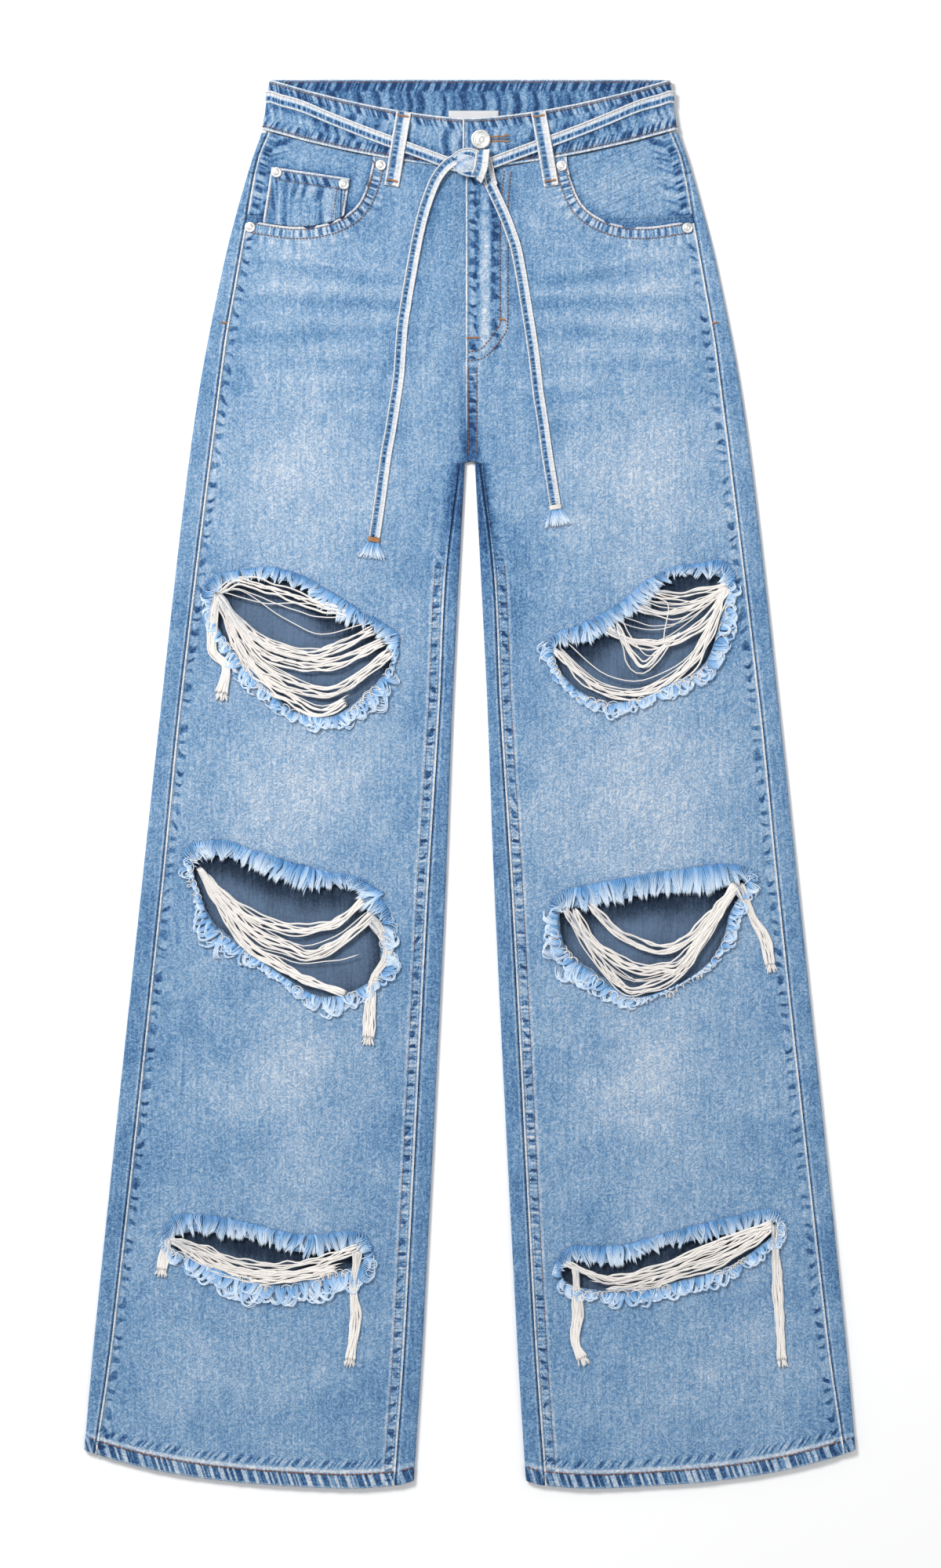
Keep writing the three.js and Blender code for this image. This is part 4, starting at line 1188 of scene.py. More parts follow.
def tie_painted_shadow(side, x, y):
    """Painted shadow of the tie on the front: a soft band along the inner side of each free end,
    darker towards the knot, a faint one along its outer side, and a pool under the knot."""
    ends = np.array(TIE_ENDS["left" if side > 0 else "right"])[:, :2]
    ends = ends[ends[:, 1].argsort()]
    beside = np.abs(np.interp(y, ends[:, 1], ends[:, 0])) - x
    near_knot = soft_step(380, 470, y)
    shown = soft_step(235, 275, y) * soft_step(488, 480, y)
    band = bump(beside, 7, 6) * (0.06 + 0.1 * near_knot) * shown
    outside = bump(beside, -8, 6) * 0.05 * shown
    pool = 0.09 * np.exp(-(((x - 8) / 24) ** 2) - ((y - 470) / 36) ** 2)
    return band + outside + pool


# Each whisker: its height beside the fly, how far it falls by the side seam, and how pale it is.
WHISKERS = [
    (408, -22, 0.08), (392, -6, 0.09), (372, 6, 0.07), (348, 4, 0.05), (318, -14, 0.06),
    (296, -24, 0.05),
]


def whisker_line(start, drop, x):
    """Height of a whisker's middle: level beside the fly, then falling faster outwards."""
    return start - drop * (np.maximum(x - 40, 0) / 150) ** 1.3


def soft_folds(side, x, y):
    """Soft troughs and ridges in the laid cloth, in millimetres: long waves down the leg, and the
    whiskers as low ridges."""
    height = 0.35 * wavy(side * x, 0.45 * y, 17, 120, 2) + 0.16 * wavy(side * x, y, 23, 34, 2)
    shown = soft_step(24, 60, x) * soft_step(5, 35, outseam(y) - x)
    for i, (start, drop, lift) in enumerate(WHISKERS):
        height += 7.0 * lift * bump(y, whisker_line(start, drop, x), 5.0 + i) * shown
    return height


def seam_relief(rim, run, hem, x, seed):
    """Raised edge, groove and puckers beside a seam, and the rolled hem, in millimetres."""
    edge = 0.5 * (1 - soft_step(1.6, 2.6, rim)) - 0.25 * bump(rim, 3.6, 1.1)
    puckers = 0.3 * wavy(run, 0 * run, seed, 11, 2) * bump(rim, 6.0, 4.5)
    rope = 0.35 * wavy(x, 0 * x, seed + 1, 12, 2) * (1 - soft_step(10, 12, hem))
    roll = -0.5 * (1 - soft_step(0, 1.2, hem)) - 0.35 * bump(hem, 11.6, 0.9)
    above = 0.3 * wavy(x, 0 * x, seed + 2, 13, 2) * bump(hem, 18, 6)
    return edge + puckers + rope + roll + above


def fly_drop(side, x, y):
    """The right front runs on lower, under the left one at the fly."""
    if side > 0:
        return 0 * x
    return FLY_DROP * clamp((14 - x) / 9) * clamp((y - 235) / 15)


def front_grid(side):
    """A front's points, and how far each lies from the inner and the outer edge."""
    centre = -FLY_EDGE if side > 0 else -FLY_UNDERLAP
    crotch_x = inseam(CROTCH_GAP_TOP) + 0.5 * SEAM_GAP

    def inner(y):
        lap = np.interp(y, [CROTCH_GAP_TOP, 259], [crotch_x, centre])
        return np.where(y > CROTCH_GAP_TOP, lap, inseam(y) + 0.5 * SEAM_GAP)

    def outer(y):
        return outseam(y) - 0.5 * SEAM_GAP

    step = settings().mesh_step / MM
    rows = row_family(*FRONT_ROWS, SEAM_GAP, step)
    x_at, columns = between_edges(inner, outer, step)
    x, y = settle(rows, front_band_bottom, x_at, columns)
    return x, y, x - inner(y), outer(y) - x


def cut_faces(quads, keep):
    """Faces left when the vertices outside keep go: whole quads, and the triangle of a quad that
    loses one corner."""
    held = keep[quads]
    whole = quads[held.all(axis=1)]
    three = held.sum(axis=1) == 3
    lost = np.argmin(held[three], axis=1)
    turned = (lost[:, None] + np.array([1, 2, 3])) % 4
    return whole, np.take_along_axis(quads[three], turned, axis=1)


def drop_unused(surface):
    """Removes vertices that no face uses."""
    points = np.vstack(surface.points)
    used = np.zeros(len(points), bool)
    for block in surface.faces:
        used[block.ravel()] = True
    index = np.cumsum(used) - 1
    surface.points = [points[used]]
    surface.faces = [index[block] for block in surface.faces]
    surface.values = {key: [np.concatenate(blocks)[used]] for key, blocks in surface.values.items()}
    surface.count = int(used.sum())


def make_front(name, side):
    """A front leg panel: a grid between its two edges whose height is the front's level plus the
    soft folds and seam relief, cut away above the pocket opening and in the rips."""
    x, y, from_inner, from_outer = front_grid(side)
    opening, ox, oy, run = nearest_on(opening_outline(), x, y)
    near = np.abs(opening) < SNAP_REACH
    x, y = np.where(near, ox, x), np.where(near, oy, y)
    opening = np.where(near, 0, opening)
    keep = opening >= 0
    for key, rip in RIPS.items():
        if rip["side"] != name:
            continue
        outline = ragged(rip["hole"], len(key)) * (side, 1)
        gap, gx, gy, _ = nearest_on(outline, x, y)
        near = np.abs(gap) < SNAP_REACH
        x, y = np.where(near, gx, x), np.where(near, gy, y)
        keep &= np.where(near, 0, gap) >= 0
    hem = y - hem_line(x)
    rim = np.minimum(from_inner, from_outer)
    relief = soft_folds(side, x, y) * soft_step(0, 12, rim) * settings().relief
    relief += seam_relief(rim, y, hem, x, 40 + side)
    relief += 0.4 * (1 - soft_step(1.4, 2.2, opening)) - 0.3 * bump(opening, 9.2, 0.9)
    relief += 0.3 * wavy(run, 0 * run, 77, 11, 2) * bump(opening, 13, 4)
    z = front_top(x, y) - fly_drop(side, x, y) + relief
    grid = np.stack([side * x, y, z], -1)
    fell = np.where(y > FELL_TOP, FAR, from_inner)
    fly_share = soft_step(343, 349, y) * soft_step(31, 30, x) * (side > 0)
    seam_wear = 1 - soft_step(150, 215, y) * soft_step(60, 40, x) * soft_step(300, 268, y)
    whole, corners = cut_faces(mirrored_quads(grid_quads(*x.shape), side), keep.ravel())
    surface = Surface()
    surface.add(grid, whole, rim=rim, fell=fell, hem=hem, open=opening, open_run=run,
                fade=fade_and_shade_map(side, x, y), fly=x, fly_share=fly_share, seam_wear=seam_wear)
    surface.faces.append(corners)
    drop_unused(surface)
    piece = cloth_piece(surface, "front_" + name, "leg_denim", settings().cloth / MM)
    return piece


def strip_top(x, y, gap):
    """Top face of a back panel's strip beside the front: the front's level, sunk at the seam."""
    return front_top(x, y) - 0.55 * (1 - soft_step(0.6, 1.8, gap))


def around_back(rows, top_line, inner, step, floor_gap=0.0):
    """A back piece as one grid: from the seam on top, out round the side fold and back along the
    surface. Height follows the front's level on top, a half circle at the fold, and the lowest
    face underneath."""
    strip_steps = np.array([0, 0.6, 1.2, 2.0, 3.0, 4.5])

    def strip(y):
        return outseam(y) + 0.5 * SEAM_GAP

    def top_x(y):
        start = strip(y)
        share = np.concatenate([0 * strip_steps, [0.25, 0.5, 0.75]])
        offset = np.concatenate([strip_steps, strip_steps[-1] * (1 - share[-3:])])
        return start * (1 - share) + fold_centre(y) * share + offset

    x, y = settle(rows, top_line, lambda v: np.minimum(top_x(v), fold_centre(v)), len(strip_steps) + 3)
    gap = x - strip(y)
    blocks = [(x, y, strip_top(x, y, gap), gap)]
    angles = np.pi * (0.5 - np.linspace(0, 1, 11))
    x, y = settle(rows, top_line, lambda v: fold_centre(v) + fold_radius(v) * np.cos(angles), 11)
    low, high = back_bottom(x, y), front_top(x, y)
    z = (low + high) / 2 + (high - low) / 2 * np.sin(angles)
    blocks.append((x, y, z, np.full(x.shape, FAR)))
    shares = np.linspace(1, 0, int(230 / step))[1:]

    def under_x(y):
        return inner(y) * (1 - shares) + fold_centre(y) * shares

    x, y = settle(rows, top_line, under_x, len(shares))
    low = back_bottom(x, y) + floor_gap
    blocks.append((x, y, low, np.full(x.shape, FAR)))
    return [np.hstack([block[k] for block in blocks]) for k in range(4)]


def back_relief(side, x, y, z, gap):
    """Seat and knee creases on the underside, pressed up from the surface it rests on."""
    under = (z < 3.2) & (gap >= FAR)
    crease = np.maximum(0, wavy(side * x, 1.6 * y, 61, 90, 2)) * 0.5
    crease += 0.5 * bump(y - 0.12 * x, 255, 4) + 0.4 * bump(y + 0.1 * x, -40, 5)
    inside_reach = soft_step(0, 20, fold_centre(y) - x)
    return np.where(under, crease * inside_reach, 0)


def make_back(name, side):
    """A back leg panel with its wraps on to the face at both sides, as one welded shell."""
    step = 1.35 * settings().mesh_step / MM

    def inner(y):
        crotch = np.interp(y, [CROTCH_GAP_TOP, 258.5], [inner_fold_centre(CROTCH_GAP_TOP), CENTRE_GAP])
        return np.where(y > CROTCH_GAP_TOP, crotch, inner_fold_centre(y))

    rows = row_family(*BACK_ROWS, 0.5 * SEAM_GAP, step)
    x, y, z, gap = around_back(rows, yoke_seam, inner, step)
    z = z + back_relief(side, x, y, z, gap)
    surface = Surface()
    hem = y - hem_line(x)
    fade = fade_and_shade_map(side, x, y) - 0.02
    surface.add(np.stack([side * x, y, z], -1), mirrored_quads(grid_quads(*x.shape), side),
                rim=gap, hem=hem, fade=fade, accent=0, shelter=rip_shelter(name, side, x, y))
    wrap_rows = rows[(rows[:, 0] > 0) | (rows[:, 2] <= CROTCH_GAP_TOP)]
    wrap_rows = wrap_rows[wrap_rows[:, 1] == 0]
    add_inner_wrap(surface, side, wrap_rows)
    piece = cloth_piece(surface, "back_" + name, "side_denim", settings().cloth / MM, welded=True)
    return piece


def rip_shelter(name, side, x, y):
    """How deep a place inside a rip lies under its upper lip: the signed distance of the point a
    little higher up to the hole's outline, turned into a share, which the inner face shows as painted
    shadow."""
    deep = 0 * x
    for rip in RIPS.values():
        if rip["side"] == name:
            above = nearest_on(np.array(rip["hole"], float) * (side, 1), x, y + 11)[0]
            deep = np.maximum(deep, soft_step(-16, 5, above) * soft_step(45, 25, above))
    return deep


def add_inner_wrap(surface, side, rows):
    """The back's inner edge below the crotch: round the inner fold and on to the inseam."""
    angles = np.pi * (np.linspace(0, 1, 10) - 0.5)
    x, y = settle(rows, yoke_seam, lambda v: inner_fold_centre(v) - fold_radius(v) * np.cos(angles), 10)
    z = front_top(x, y) / 2 * (1 + np.sin(angles))
    strip_steps = np.array([4.0, 2.6, 1.4, 0.7, 0.0])

    def strip_x(v):
        seam = np.maximum(inseam(v), inner_fold_centre(v) + 1) - 0.5 * SEAM_GAP
        first = inner_fold_centre(v) + 0.3
        return np.maximum(first, seam - strip_steps)

    sx, sy = settle(rows, yoke_seam, strip_x, len(strip_steps))
    gap = np.maximum(inseam(sy), inner_fold_centre(sy) + 1) - 0.5 * SEAM_GAP - sx
    z = np.hstack([z, strip_top(sx, sy, gap)])
    x, y = np.hstack([x, sx]), np.hstack([y, sy])
    gap = np.hstack([np.full((len(rows), 10), FAR), gap])
    # Painted shade on the inner wrap, deepening towards the crotch.
    shade = 0.3 * soft_step(130, 240, y)
    surface.add(np.stack([side * x, y, z], -1), mirrored_quads(grid_quads(*x.shape), side),
                rim=gap, hem=y - hem_line(x), fade=0.44 - shade, accent=0, shelter=0)


def make_yoke(name, side):
    """A back yoke between the yoke seam and the waistband, wrapped round the side fold."""
    share = np.linspace(0, 1, 14)[:, None]

    def between_seams(x):
        top = BACK_BAND_BOTTOM - SEAM_GAP - 2.2 * clamp((x - 150) / 8)
        return mix(yoke_seam(x) + 0.5 * SEAM_GAP, top, share)

    rows = np.hstack([0 * share, 0 * share + 1, 0 * share])
    x, y, z, gap = around_back(rows, between_seams, lambda v: 0 * v + CENTRE_GAP, 5.0)
    surface = Surface()
    grid = np.stack([side * x, y, z], -1)
    surface.add(grid, mirrored_quads(grid_quads(*x.shape), side), rim=gap, hem=FAR,
                fade=0.46, accent=-0.1 * bump(share * 40 + 0 * x, 0, 3))
    return lay_sheet(cloth_piece(surface, "yoke_" + name, "side_denim", settings().cloth / MM), grid)


# ---- pockets ----


def make_patch(name, grid, side, thickness, **values):
    """A sewn-on patch drawn by a grid of points."""
    surface = Surface()
    surface.add(grid, mirrored_quads(grid_quads(*grid.shape[:2]), side), **values)
    return lay_sheet(cloth_piece(surface, name, "patch_denim", thickness), grid)


def make_facing(name, side):
    """The cloth seen in a front pocket's opening, just below the front's level."""
    share = np.linspace(0, 1, 26)[:, None]
    across = np.linspace(0, 1, 34)[None, :]
    x = 69 + across * 60
    for _ in range(5):
        y = mix(facing_bottom(x), front_band_bottom(x) - SEAM_GAP, share)
        x = mix(69, outseam(y) - 0.5 * SEAM_GAP, across)
    from_side = outseam(y) - 0.5 * SEAM_GAP - x
    z = front_top(x, y) - 1.7 + 0.25 * wavy(x, y, 13, 26, 2)
    z += 0.8 * soft_step(8, 0, from_side) * soft_step(445, 455, y)
    rim = np.where(y > 452, from_side, FAR)
    # Darker towards the waistband, and painted shade just inside the opening, under the front's edge.
    shade = 0.08 * soft_step(470, 515, y) + 0.24 * soft_step(12, 1, y - pocket_opening(x))
    if side < 0:
        left, right = coin_edges(y)
        past_coin = np.maximum(np.maximum(left - x, x - right), y - coin_top(x))
        # Painted shade round the coin pocket's edges.
        shade = shade + 0.26 * bump(np.maximum(past_coin, 0), 0, 3.2)
    return make_patch("pocket_facing_" + name, np.stack([side * x, y, z], -1), side, 1.0,
                      rim=rim, fade=0.55 - shade, along=y, accent=0)


def coin_edges(y):
    """Inner and outer side of the coin pocket at a height."""
    spread = clamp((492 - y) / 42)
    return mix(94.5, 101, spread), mix(158.3, 165, spread)


def coin_top(x):
    """Height of the coin pocket's slanting top edge."""
    return mix(483, 492.4, (x - 94.5) / 63.8)


def make_coin_pocket():
    """The small pocket on the right facing, with a turned hem along its slanting top."""
    share = np.linspace(0, 1, 22)[:, None]
    across = np.linspace(0, 1, 30)[None, :]
    x = 95 + across * 65
    for _ in range(5):
        top = coin_top(x)
        y = mix(pocket_opening(x) + 0.6, top, share)
        left, right = coin_edges(y)
        x = mix(left, right, across)
    from_top = top - y
    sides = np.minimum(x - left, right - x)
    rim = np.minimum(sides, from_top)
    z = front_top(x, y) - 0.4 + 0.35 * (1 - soft_step(1.2, 2.2, rim)) + 0.25 * (from_top < 9)
    accent = -0.18 * bump(from_top, 9.6, 1.1) + 0.14 * bump(from_top, 11.5, 1.0)
    accent = accent + 0.2 * wavy(x, 0 * x, 3, 5.5, 1) * bump(from_top, 5, 2.5)
    return make_patch("coin_pocket", np.stack([-x, y, z], -1), -1, 0.8,
                      rim=rim, fade=0.52, along=x, accent=accent)


def make_back_pocket(name, side):
    """A plain patch pocket under the seat with a pointed lower edge, drawn face down."""
    share = np.linspace(0, 1, 30)[:, None]
    across = np.linspace(0, 1, 30)[None, :]
    x_low = mix(40, 146, across)
    y_low = 318 - 30 * (1 - np.abs(x_low - 96) / np.where(x_low < 96, 56, 50))
    x = mix(x_low, mix(38, 152, across), share)
    y = mix(y_low, mix(419, 415, across), share)
    rim = np.minimum(np.minimum(x - 39, 149 - x), np.minimum(417 - y, (y - y_low) * 0.9))
    z = 0.25 * (1 - soft_step(3, 1.5, rim)) * (1 - bump(rim, 2.6, 1)) + 0 * x
    grid = np.stack([side * x, y, z], -1)
    return make_patch("back_pocket_" + name, grid, -side, 0.9,
                      rim=rim, fade=0.5, along=x + y, accent=0)


# ---- waistband, loops and label ----


def band_stations():
    """The waistband's lower and upper edge and outward direction at each station, from the end
    under the button, round the wearer's right, across the back and round to the lapped end."""
    lap, under = BAND_FRONT_FACE + 1.5, BAND_FRONT_FACE - 0.8

    def front(x, z):
        lower = np.column_stack([x, front_band_bottom(x), z])
        upper = np.column_stack([x, front_band_top(x), z])
        return lower, upper, np.tile((0.0, 0.0, 1.0), (len(x), 1))

    def fold(side, turn):
        angle = np.pi * (0.5 - turn)
        nx, nz = side * np.cos(angle), np.sin(angle)
        z = BAND_BACK_FACE + BAND_FOLD * (1 + nz)
        edges = []
        for start, end in ((front_band_bottom(165), BACK_BAND_BOTTOM), (front_band_top(158), WAIST_TOP)):
            y = mix(start, end, turn)
            edges.append(np.column_stack([side * (outer_edge(y) - BAND_FOLD) + BAND_FOLD * nx, y, z]))
        return edges[0], edges[1], np.column_stack([nx, 0 * nx, nz])

    def back(x):
        flat = np.full(len(x), BAND_BACK_FACE)
        lower = np.column_stack([x, 0 * x + BACK_BAND_BOTTOM, flat])
        upper = np.column_stack([x, 0 * x + WAIST_TOP, flat])
        return lower, upper, np.tile((0.0, 0.0, -1.0), (len(x), 1))

    right = -np.concatenate([np.arange(-24, 132, 2.6), [132]])
    right_z = np.interp(-right, [-24, 8, 17], [under, under, BAND_FRONT_FACE])
    left = np.concatenate([[132], np.arange(131, -2.2, -2.6), [-3.3, -4.1, -4.7, -5.3, -5.8]])
    left_z = np.interp(left, [27, 60], [lap, BAND_FRONT_FACE])
    turn = np.linspace(0, 1, 17)
    parts = [
        front(right, right_z), fold(-1, turn), back(np.arange(-148, 149, 4.0)),
        fold(1, turn[::-1]), front(left, left_z),
    ]
    return [np.vstack([part[k] for part in parts]) for k in range(3)]


def make_waistband():
    """The waistband: straight lines from its lower to its upper edge at each station, with bare
    raised edges and puckers, and painted shadow on both sides of the tie belt where it crosses the
    front."""
    lower, upper, outward = band_stations()
    steps = np.concatenate([[0, 0.6, 1.2, 1.9, 2.8, 4.2, 6.4, 9.4], np.linspace(13, 27, 5)])
    height = np.linalg.norm(upper - lower, axis=1)[:, None]
    offsets = np.hstack([np.broadcast_to(steps, (len(lower), len(steps))), height - steps[7::-1]])
    share = offsets / height
    grid = lower[:, None] + (upper - lower)[:, None] * share[:, :, None]
    along = run_along((lower + upper) / 2)[:, None] + 0 * share
    rim = np.minimum(np.minimum(offsets, height - offsets), along.max() - along)
    relief = 0.3 * (1 - soft_step(1.2, 2.2, rim)) - 0.25 * bump(rim, 3.0, 0.8)
    relief += 0.3 * wavy(along, 0 * along, 7, 13, 2) * bump(rim, 6, 4)
    relief += 0.2 * wavy(along, offsets, 8, 40, 2)
    grid = grid + outward[:, None] * relief[:, :, None]
    fade = 0.53 + 0.05 * wavy(along, offsets, 9, 60, 2)
    # Painted shadow on the band's front face, along both sides of the tie belt.
    from_tie = np.abs(grid[:, :, 1] - tie_line(np.abs(grid[:, :, 0])))
    tie_shadow = bump(from_tie, 6.6, 2.0) * (outward[:, 2:] > 0.9) * (np.abs(grid[:, :, 0]) > 14)
    surface = Surface()
    surface.add(grid, grid_quads(*share.shape), rim=rim, along=along, fade=fade, accent=-0.26 * tie_shadow)
    piece = cloth_piece(surface, "waistband", "waistband_denim", BAND_DRAWN, "band_inside",
                        "waistband_denim")
    return lay_sheet(piece, grid)


def make_label():
    """A blank tape with gently lifted ends, sewn inside the back of the waistband."""
    low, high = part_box("label")
    low, high = np.array(low) / MM, np.array(high) / MM
    across = np.linspace(0, 1, 24)[None, :]
    up = np.linspace(0, 1, 14)[:, None]
    x = mix(low[0], high[0], across) + 0 * up
    y = mix(low[1], high[1], up) + 0 * across
    z = high[2] + 0.25 * np.cos(np.pi * across) ** 2 + 0.1 * wavy(x, y, 2, 20, 1)
    grid = np.stack([x, y, z], -1)
    surface = Surface()
    surface.add(grid, grid_quads(*x.shape))
    piece = surface.build("label", [finish_named("label")])
    thicken(piece, 0.5)
    finish_piece(piece, "label_tape", "label")
    return lay_sheet(piece, grid)


def strap_section(half_width, cloth, ridge=0.25, sink=0.2):
    """Section of a sewn strap: raised rounded edges, a sunk middle and a flat underside, as
    (across, up) with 0 at the top face."""
    w = half_width
    top = [
        (-w, -0.5 * cloth), (-0.96 * w, 0.3 * ridge), (-0.88 * w, ridge), (-0.79 * w, 0.2 * ridge),
        (-0.68 * w, -sink), (-0.35 * w, -0.6 * sink), (0, -0.5 * sink), (0.35 * w, -0.6 * sink),
        (0.68 * w, -sink), (0.79 * w, 0.2 * ridge), (0.88 * w, ridge), (0.96 * w, 0.3 * ridge),
        (w, -0.5 * cloth),
    ]
    under = [(0.9 * w, -cloth), (0, -cloth), (-0.9 * w, -cloth)]
    return np.array(top + under)


def solid_piece(surface, name, finish, slot, *nodes):
    """A closed piece, with its faces turned outwards."""
    piece = surface.build(name, [finish_named(finish)])
    weld(piece, outwards=True)
    return finish_piece(piece, slot, *nodes)


def weld(piece, outwards=False):
    """Joins vertices that lie in one place, and where asked turns the faces outwards."""
    mesh = bmesh.new()
    mesh.from_mesh(piece.data)
    bmesh.ops.remove_doubles(mesh, verts=mesh.verts, dist=1e-7)
    if outwards:
        bmesh.ops.recalc_face_normals(mesh, faces=mesh.faces)
    mesh.to_mesh(piece.data)
    mesh.free()
    piece.data.update()


# Along a loop from its top to its lower end: a share of its length, and how far out its face lies.
LOOP_STATIONS = {
    "front": [(0, 9.9), (0.2, 9.9), (0.25, 11.9), (0.62, 11.9), (0.68, 9.9), (0.71, 9.9),
              (0.78, 8.9), (1, 8.3)],
    "back": [(0, 2.5), (0.125, 2.5), (0.155, 1), (0.385, 1), (0.425, 2.5), (0.75, 2.5), (0.78, 2),
             (1, 2)],
}
LOOPS = [
    ("front_right", (-52.6, 536), (-62.5, 477)), ("front_left", (54.5, 536), (65, 477)),
    ("back_right", (-100, 562), (-100, 510)), ("back_centre", (0, 562), (0, 510)),
    ("back_left", (100, 562), (100, 510)),
]
LOOP_OUTWARD = {"front": 1, "back": -1}  # which way a loop's face looks along Z
LOWEST_LOOP = 0.3  # keeps a back loop's raised edges above the surface it lies on


def make_belt_loop(name, start, end):
    """A belt loop: the strap section carried from its top to its lower end, over the tie belt."""
    place = name.split("_")[0]
    start, end = np.array(start, float), np.array(end, float)
    share = np.linspace(0, 1, 46)
    shares, tops = np.array(LOOP_STATIONS[place]).T
    smooth = np.convolve(np.interp(np.linspace(-0.06, 1.06, 52), shares, tops), np.ones(7) / 7, "valid")
    flat = start + (end - start) * share[:, None]
    across = np.append(heading(start, end)[2], 0)
    outward = LOOP_OUTWARD[place]
    face = smooth if outward > 0 else np.maximum(smooth - 1.0, LOWEST_LOOP)
    centres = np.column_stack([flat, face])
    section = strap_section(6.0, 1.0, ridge=0.22, sink=0.12)
    surface = Surface()
    sweep(surface, centres, across, (0, 0, outward), section, fade=0.56,
          accent=0.3 * bump(share, 1.0, 0.03) - 0.25 * bump(share, 0.94, 0.02))
    piece = solid_piece(surface, "belt_loop_" + name, "strap_denim", "denim", "belt_loop_" + name)
    return piece


# ---- tie belt ----


def tie_stations():
    """Middle of the tie belt and its outward direction at each station, once round the waist."""
    middle_height, fold_reach, top, back_height = 5.4, 4.3, 9.5, 548.0

    def front(x):
        away = np.abs(x)
        z = mix(11.0, top, clamp((away - 35) / 35))
        return np.column_stack([x, tie_line(away), z]), np.tile((0.0, 0.0, 1.0), (len(x), 1))

    def fold(side, turn):
        angle = np.pi * (0.5 - turn)
        x = outer_edge(back_height) - BAND_FOLD + fold_reach * np.cos(angle)
        z = middle_height + (top - middle_height) * np.sin(angle)
        y = np.full(len(turn), back_height)
        outward = np.column_stack([side * np.cos(angle), 0 * turn, np.sin(angle)])
        return np.column_stack([side * x, y, z]), outward

    out = np.concatenate([[10.8], np.arange(13, 151, 2.8)])
    turn = np.linspace(0, 1, 15)
    back_x = np.arange(-148, 149, 6.0)
    back_z = np.full(len(back_x), middle_height - (top - middle_height))
    back = np.column_stack([back_x, 0 * back_x + back_height, back_z])
    parts = [
        front(-out), fold(-1, turn), (back, np.tile((0.0, 0.0, -1.0), (len(back), 1))),
        fold(1, turn[::-1]), front(np.append(out[out > 15.4][::-1], 15.4)),
    ]
    return [np.vstack([part[k] for part in parts]) for k in range(2)]


def make_tie_belt():
    """The tie belt round the waist, from one side of the knot to the other."""
    centres, outward = tie_stations()
    surface = Surface()
    sway = 0.35 * wavy(run_along(centres), 0 * centres[:, 0], 15, 60, 1)
    centres = centres + outward * sway[:, None] * 0.4
    sweep(surface, centres, (0, 1, 0), outward, strap_section(5.0, 1.2), fade=0.55, accent=0)
    piece = solid_piece(surface, "tie_belt", "strap_denim", "tie_denim", "tie_belt")
    return piece


def flat_across(path):
    """The level direction across a path."""
    along = tangents(path)
    across = np.column_stack([-along[:, 1], along[:, 0], 0 * along[:, 0]])
    return across / np.linalg.norm(across, axis=1, keepdims=True)


def make_tie_end(name):
    """One free end: the strap section along its route, a bound tip and a tassel of fine yarns."""
    path = smooth_path(TIE_ENDS[name], 2.4)
    across = flat_across(path)
    section = strap_section(TIE_WIDTH / 2, 1.2) + (0, 0.5)
    surface = Surface()
    sweep(surface, path, across, np.cross(tangents(path), across), section,
          fade=0.57, accent=0)
    end = solid_piece(surface, "tie_end_" + name, "strap_denim", "tie_denim", "tie_end_" + name)
    whipping = make_whipping(name, path[-1], tangents(path)[-1])
    tassel = make_tassel(name, path[-1], tangents(path)[-1])
    return end


def make_whipping(name, tip, ahead):
    """Turns of thread wound side by side round the strap's end, each an oval ring."""
    turns, pitch = 6, 0.6
    beside = np.array([-ahead[1], ahead[0], 0.0])
    angle = np.linspace(0, 2 * np.pi, 25)[:-1]
    paths = []
    for i in range(turns):
        centre = tip + ahead * (0.5 + pitch * i)
        width = 5.0 - 0.12 * abs(i - 2.5)
        ring = centre + beside * (width * np.cos(angle))[:, None]
        ring = ring + np.array([0, 0, 1.0]) * (1.05 * np.sin(angle))[:, None]
        paths.append(np.vstack([ring, ring[:2]]))
    surface = Surface()
    add_tubes(surface, paths, 0.34, 6, shade=0.5)
    finish = "copper" if name == "right" else "white_thread"
    slot = "copper_thread" if name == "right" else "white_thread"
    return solid_piece(surface, "tie_whipping_" + name, finish, slot, "tie_whipping_" + name)


def make_tassel(name, tip, ahead):
    """Fine yarns fanning out from the bound tip, in a few locks that curl at their ends."""
    rng = np.random.default_rng(len(name))
    count, steps = 130, 8
    beside = np.array([-ahead[1], ahead[0], 0.0])
    t = np.linspace(0, 1, steps)[None, :]
    lock = rng.integers(0, 6, count)
    spread = (np.linspace(-1, 1, 6)[lock] + rng.normal(0, 0.16, count))[:, None]
    length = rng.uniform(11.5, 15.5, count)[:, None]
    out = 3.8 * np.clip(spread, -1.1, 1.1) + 5.6 * spread * t**1.5
    out = out + rng.normal(0, 0.7, (count, 1)) * np.sin(2.6 * t)
    rise = 0.9 * rng.uniform(-0.6, 1.2, (count, 1)) * np.sin(np.pi * t * 0.9)
    start = tip + ahead * 3.4
    paths = (
        start
        + ahead * (length * t)[..., None]
        + beside * out[..., None]
        + np.array([0, 0, 1.0]) * (rise + rng.uniform(-0.5, 0.5, (count, 1)))[..., None]
    )
    surface = Surface()
    add_tubes(surface, paths, 0.36, 4, shade=rng.uniform(0, 1, count))
    return solid_piece(surface, "tie_tassel_" + name, "fringe", "frayed_warp", "tie_tassel_" + name)


KNOT_CENTRE = (-0.6, 494.6, 13.4)
KNOT_RADII = (10.8, 11.0, 3.6)
